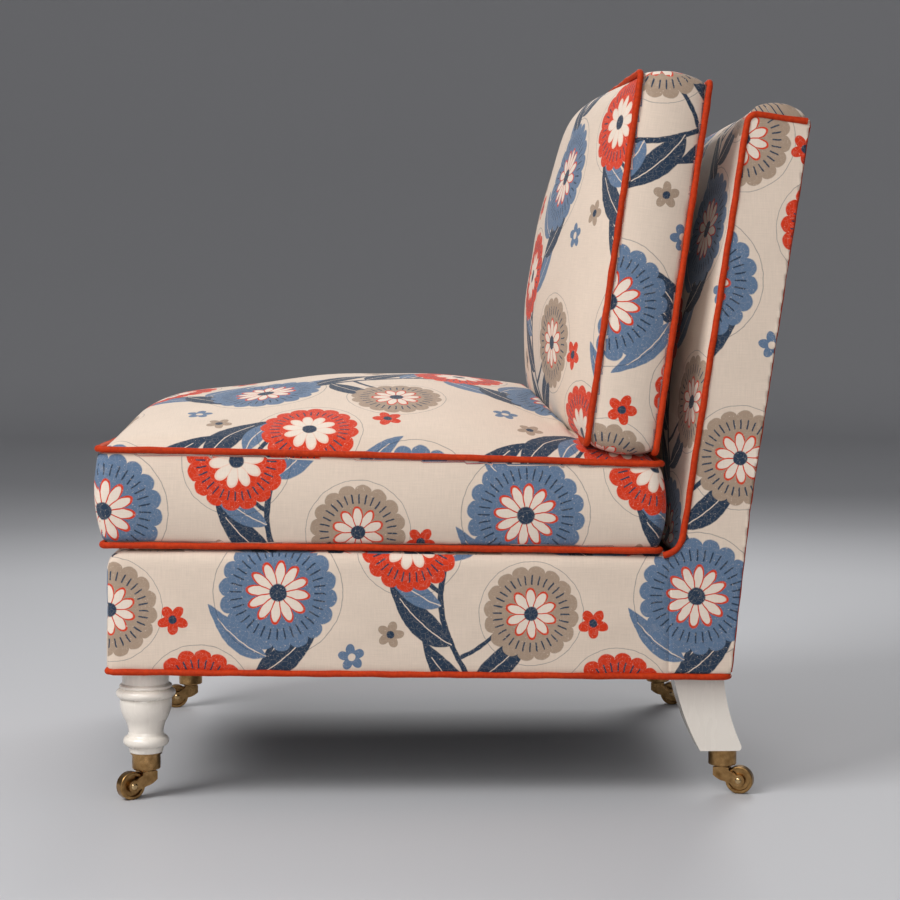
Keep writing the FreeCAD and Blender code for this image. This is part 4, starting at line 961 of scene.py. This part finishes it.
aged_brass = brass("aged_brass", (0.20, 0.105, 0.035, 1), (0.56, 0.34, 0.145, 1), 0.36, 0.22)
wheel_brass = brass("wheel_brass", (0.18, 0.095, 0.032, 1), (0.50, 0.30, 0.12, 1), 0.40, 0.22)
rubbed_brass = brass("rubbed_brass", (0.45, 0.30, 0.14, 1), (0.72, 0.52, 0.28, 1), 0.3, 0.18)
for corner in ("front_left", "front_right", "rear_left", "rear_right"):
    finish_node(f"{corner}_caster_cup", aged_brass)
    finish_node(f"{corner}_caster_horn", aged_brass)
    finish_node(f"{corner}_caster_axle", rubbed_brass)
    finish_node(f"{corner}_caster_wheel", wheel_brass)


# Hidden frame: beech rails and uprights, planed and left bare, glued and screwed at the corners with
# corner blocks that carry the legs.
beech, draft, shader = new_material("beech")
coordinates = draft.here()
rings = draft.noise(coordinates, 22, 5, (0.35, 4, 4))
draft.join(draft.lay((0.42, 0.26, 0.14, 1), (0.62, 0.43, 0.27, 1), rings), shader["Base Color"])
draft.join(draft.span(rings, 0.5, 0.7), shader["Roughness"])
draft.join(draft.bump(rings, 0.15, 0.0005), shader["Normal"])
for node in ("front_rail", "rear_rail", "side_rail_left", "side_rail_right", "corner_blocks",
             "back_upright_left", "back_upright_right", "back_top_rail", "back_lower_rail"):
    finish_node(node, beech)


# Webbings under the seat and in the back: plain woven jute bands, stretched over the rails and tacked to
# them, which carry the padding.
jute, draft, shader = new_material("jute_webbing")
coordinates = draft.here()
weave = placed_group(draft, plain_weave, Map=coordinates, Pitch=0.0005)
draft.join(draft.lay((0.33, 0.24, 0.14, 1), (0.52, 0.40, 0.26, 1), weave["Slub"]), shader["Base Color"])
shader["Roughness"].default_value = 0.9
draft.join(draft.bump(weave["Height"], 0.5, 0.0005), shader["Normal"])
for node in ("seat_webbing", "back_webbing"):
    finish_node(node, jute)


# Hanger bolts: plain steel with a cut thread, screwed into the tops of the legs and up through the corner
# blocks.
bolt_steel, draft, shader = new_material("bolt_steel")
coordinates = draft.here()
thread = draft.noise(coordinates, 1.0, 1, (60, 60, 2500))
shader["Base Color"].default_value = (0.55, 0.55, 0.57, 1)
shader["Metallic"].default_value = 1
draft.join(draft.span(thread, 0.25, 0.45), shader["Roughness"])
draft.join(draft.bump(thread, 0.5, 0.0006), shader["Normal"])
finish_node("leg_bolts", bolt_steel)


# Zips: a nylon coil on woven tape in the linen's ground colour, sewn into the cushions' boxing where it
# doesn't show.
zip_tape, draft, shader = new_material("zip_tape")
teeth = draft.work("SINE", draft.work("MULTIPLY", draft.parts_of(draft.here())["X"], 2600))
colour = draft.lay((0.60, 0.52, 0.42, 1), (0.72, 0.64, 0.53, 1), draft.span(teeth, 0, 1))
draft.join(colour, shader["Base Color"])
shader["Roughness"].default_value = 0.6
draft.join(draft.bump(teeth, 0.3, 0.0004), shader["Normal"])
for node in ("seat_cushion_zip", "back_cushion_zip"):
    finish_node(node, zip_tape)


# Dust cover: one sheet of black cotton cambric under the base, cut round the four legs, stapled to the
# rails along its turned edges and sagging a little between them.
cambric, draft, shader = new_material("black_cambric")
coordinates = draft.here()
weave = placed_group(draft, plain_weave, Map=coordinates, Pitch=0.0003)
draft.join(draft.lay((0.012, 0.012, 0.013, 1), (0.03, 0.03, 0.032, 1), weave["Slub"]), shader["Base Color"])
shader["Roughness"].default_value = 0.9
draft.join(draft.bump(weave["Height"], 0.4, 0.0003), shader["Normal"])

dust_sag, dust_thickness, dust_holes = 0.004, 0.0008, 0.011
dust_near, dust_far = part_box("dust_cover")
dust_width, dust_length = dust_far[0] - dust_near[0], (dust_far[1] - dust_near[1]) / math.cos(rake)
dust_middle = (dust_near[1] + dust_far[1]) / 2 - base_y
bpy.ops.object.select_all(action="DESELECT")
bpy.ops.mesh.primitive_grid_add(x_subdivisions=56, y_subdivisions=60, size=1)
dust_sheet = bpy.context.active_object
dust_sheet.name = "dust_sheet"
dust_sheet.data.transform(Matrix.Translation((0, dust_middle, -0.0003))
                          @ Matrix.Diagonal((dust_width, dust_length, 1, 1)))


def sagged(spot, normal):
    across = math.cos(math.pi * spot.x / dust_width)
    along = math.cos(math.pi * (spot.y - dust_middle) / dust_length)
    spot.z -= dust_sag * max(0.0, across * along) ** 0.7
    return spot


reshape(dust_sheet, sagged)
settle(dust_sheet, base_place)
thick = dust_sheet.modifiers.new("thick", "SOLIDIFY")
thick.thickness = dust_thickness
leg_shapes = [copy_of(f"{leg}_leg_{side}", f"{leg}_cutter_{side}")
              for leg in ("front", "rear") for side in ("left", "right")]
for cutter in leg_shapes:
    hole = dust_sheet.modifiers.new("hole", "BOOLEAN")
    hole.object = cutter
    hole.operation = "DIFFERENCE"
finish_modifiers(dust_sheet)
for cutter in leg_shapes:
    bpy.data.objects.remove(cutter)
dress(dust_sheet, cambric, "dust_cloth", "chair_frame", "dust_cover")
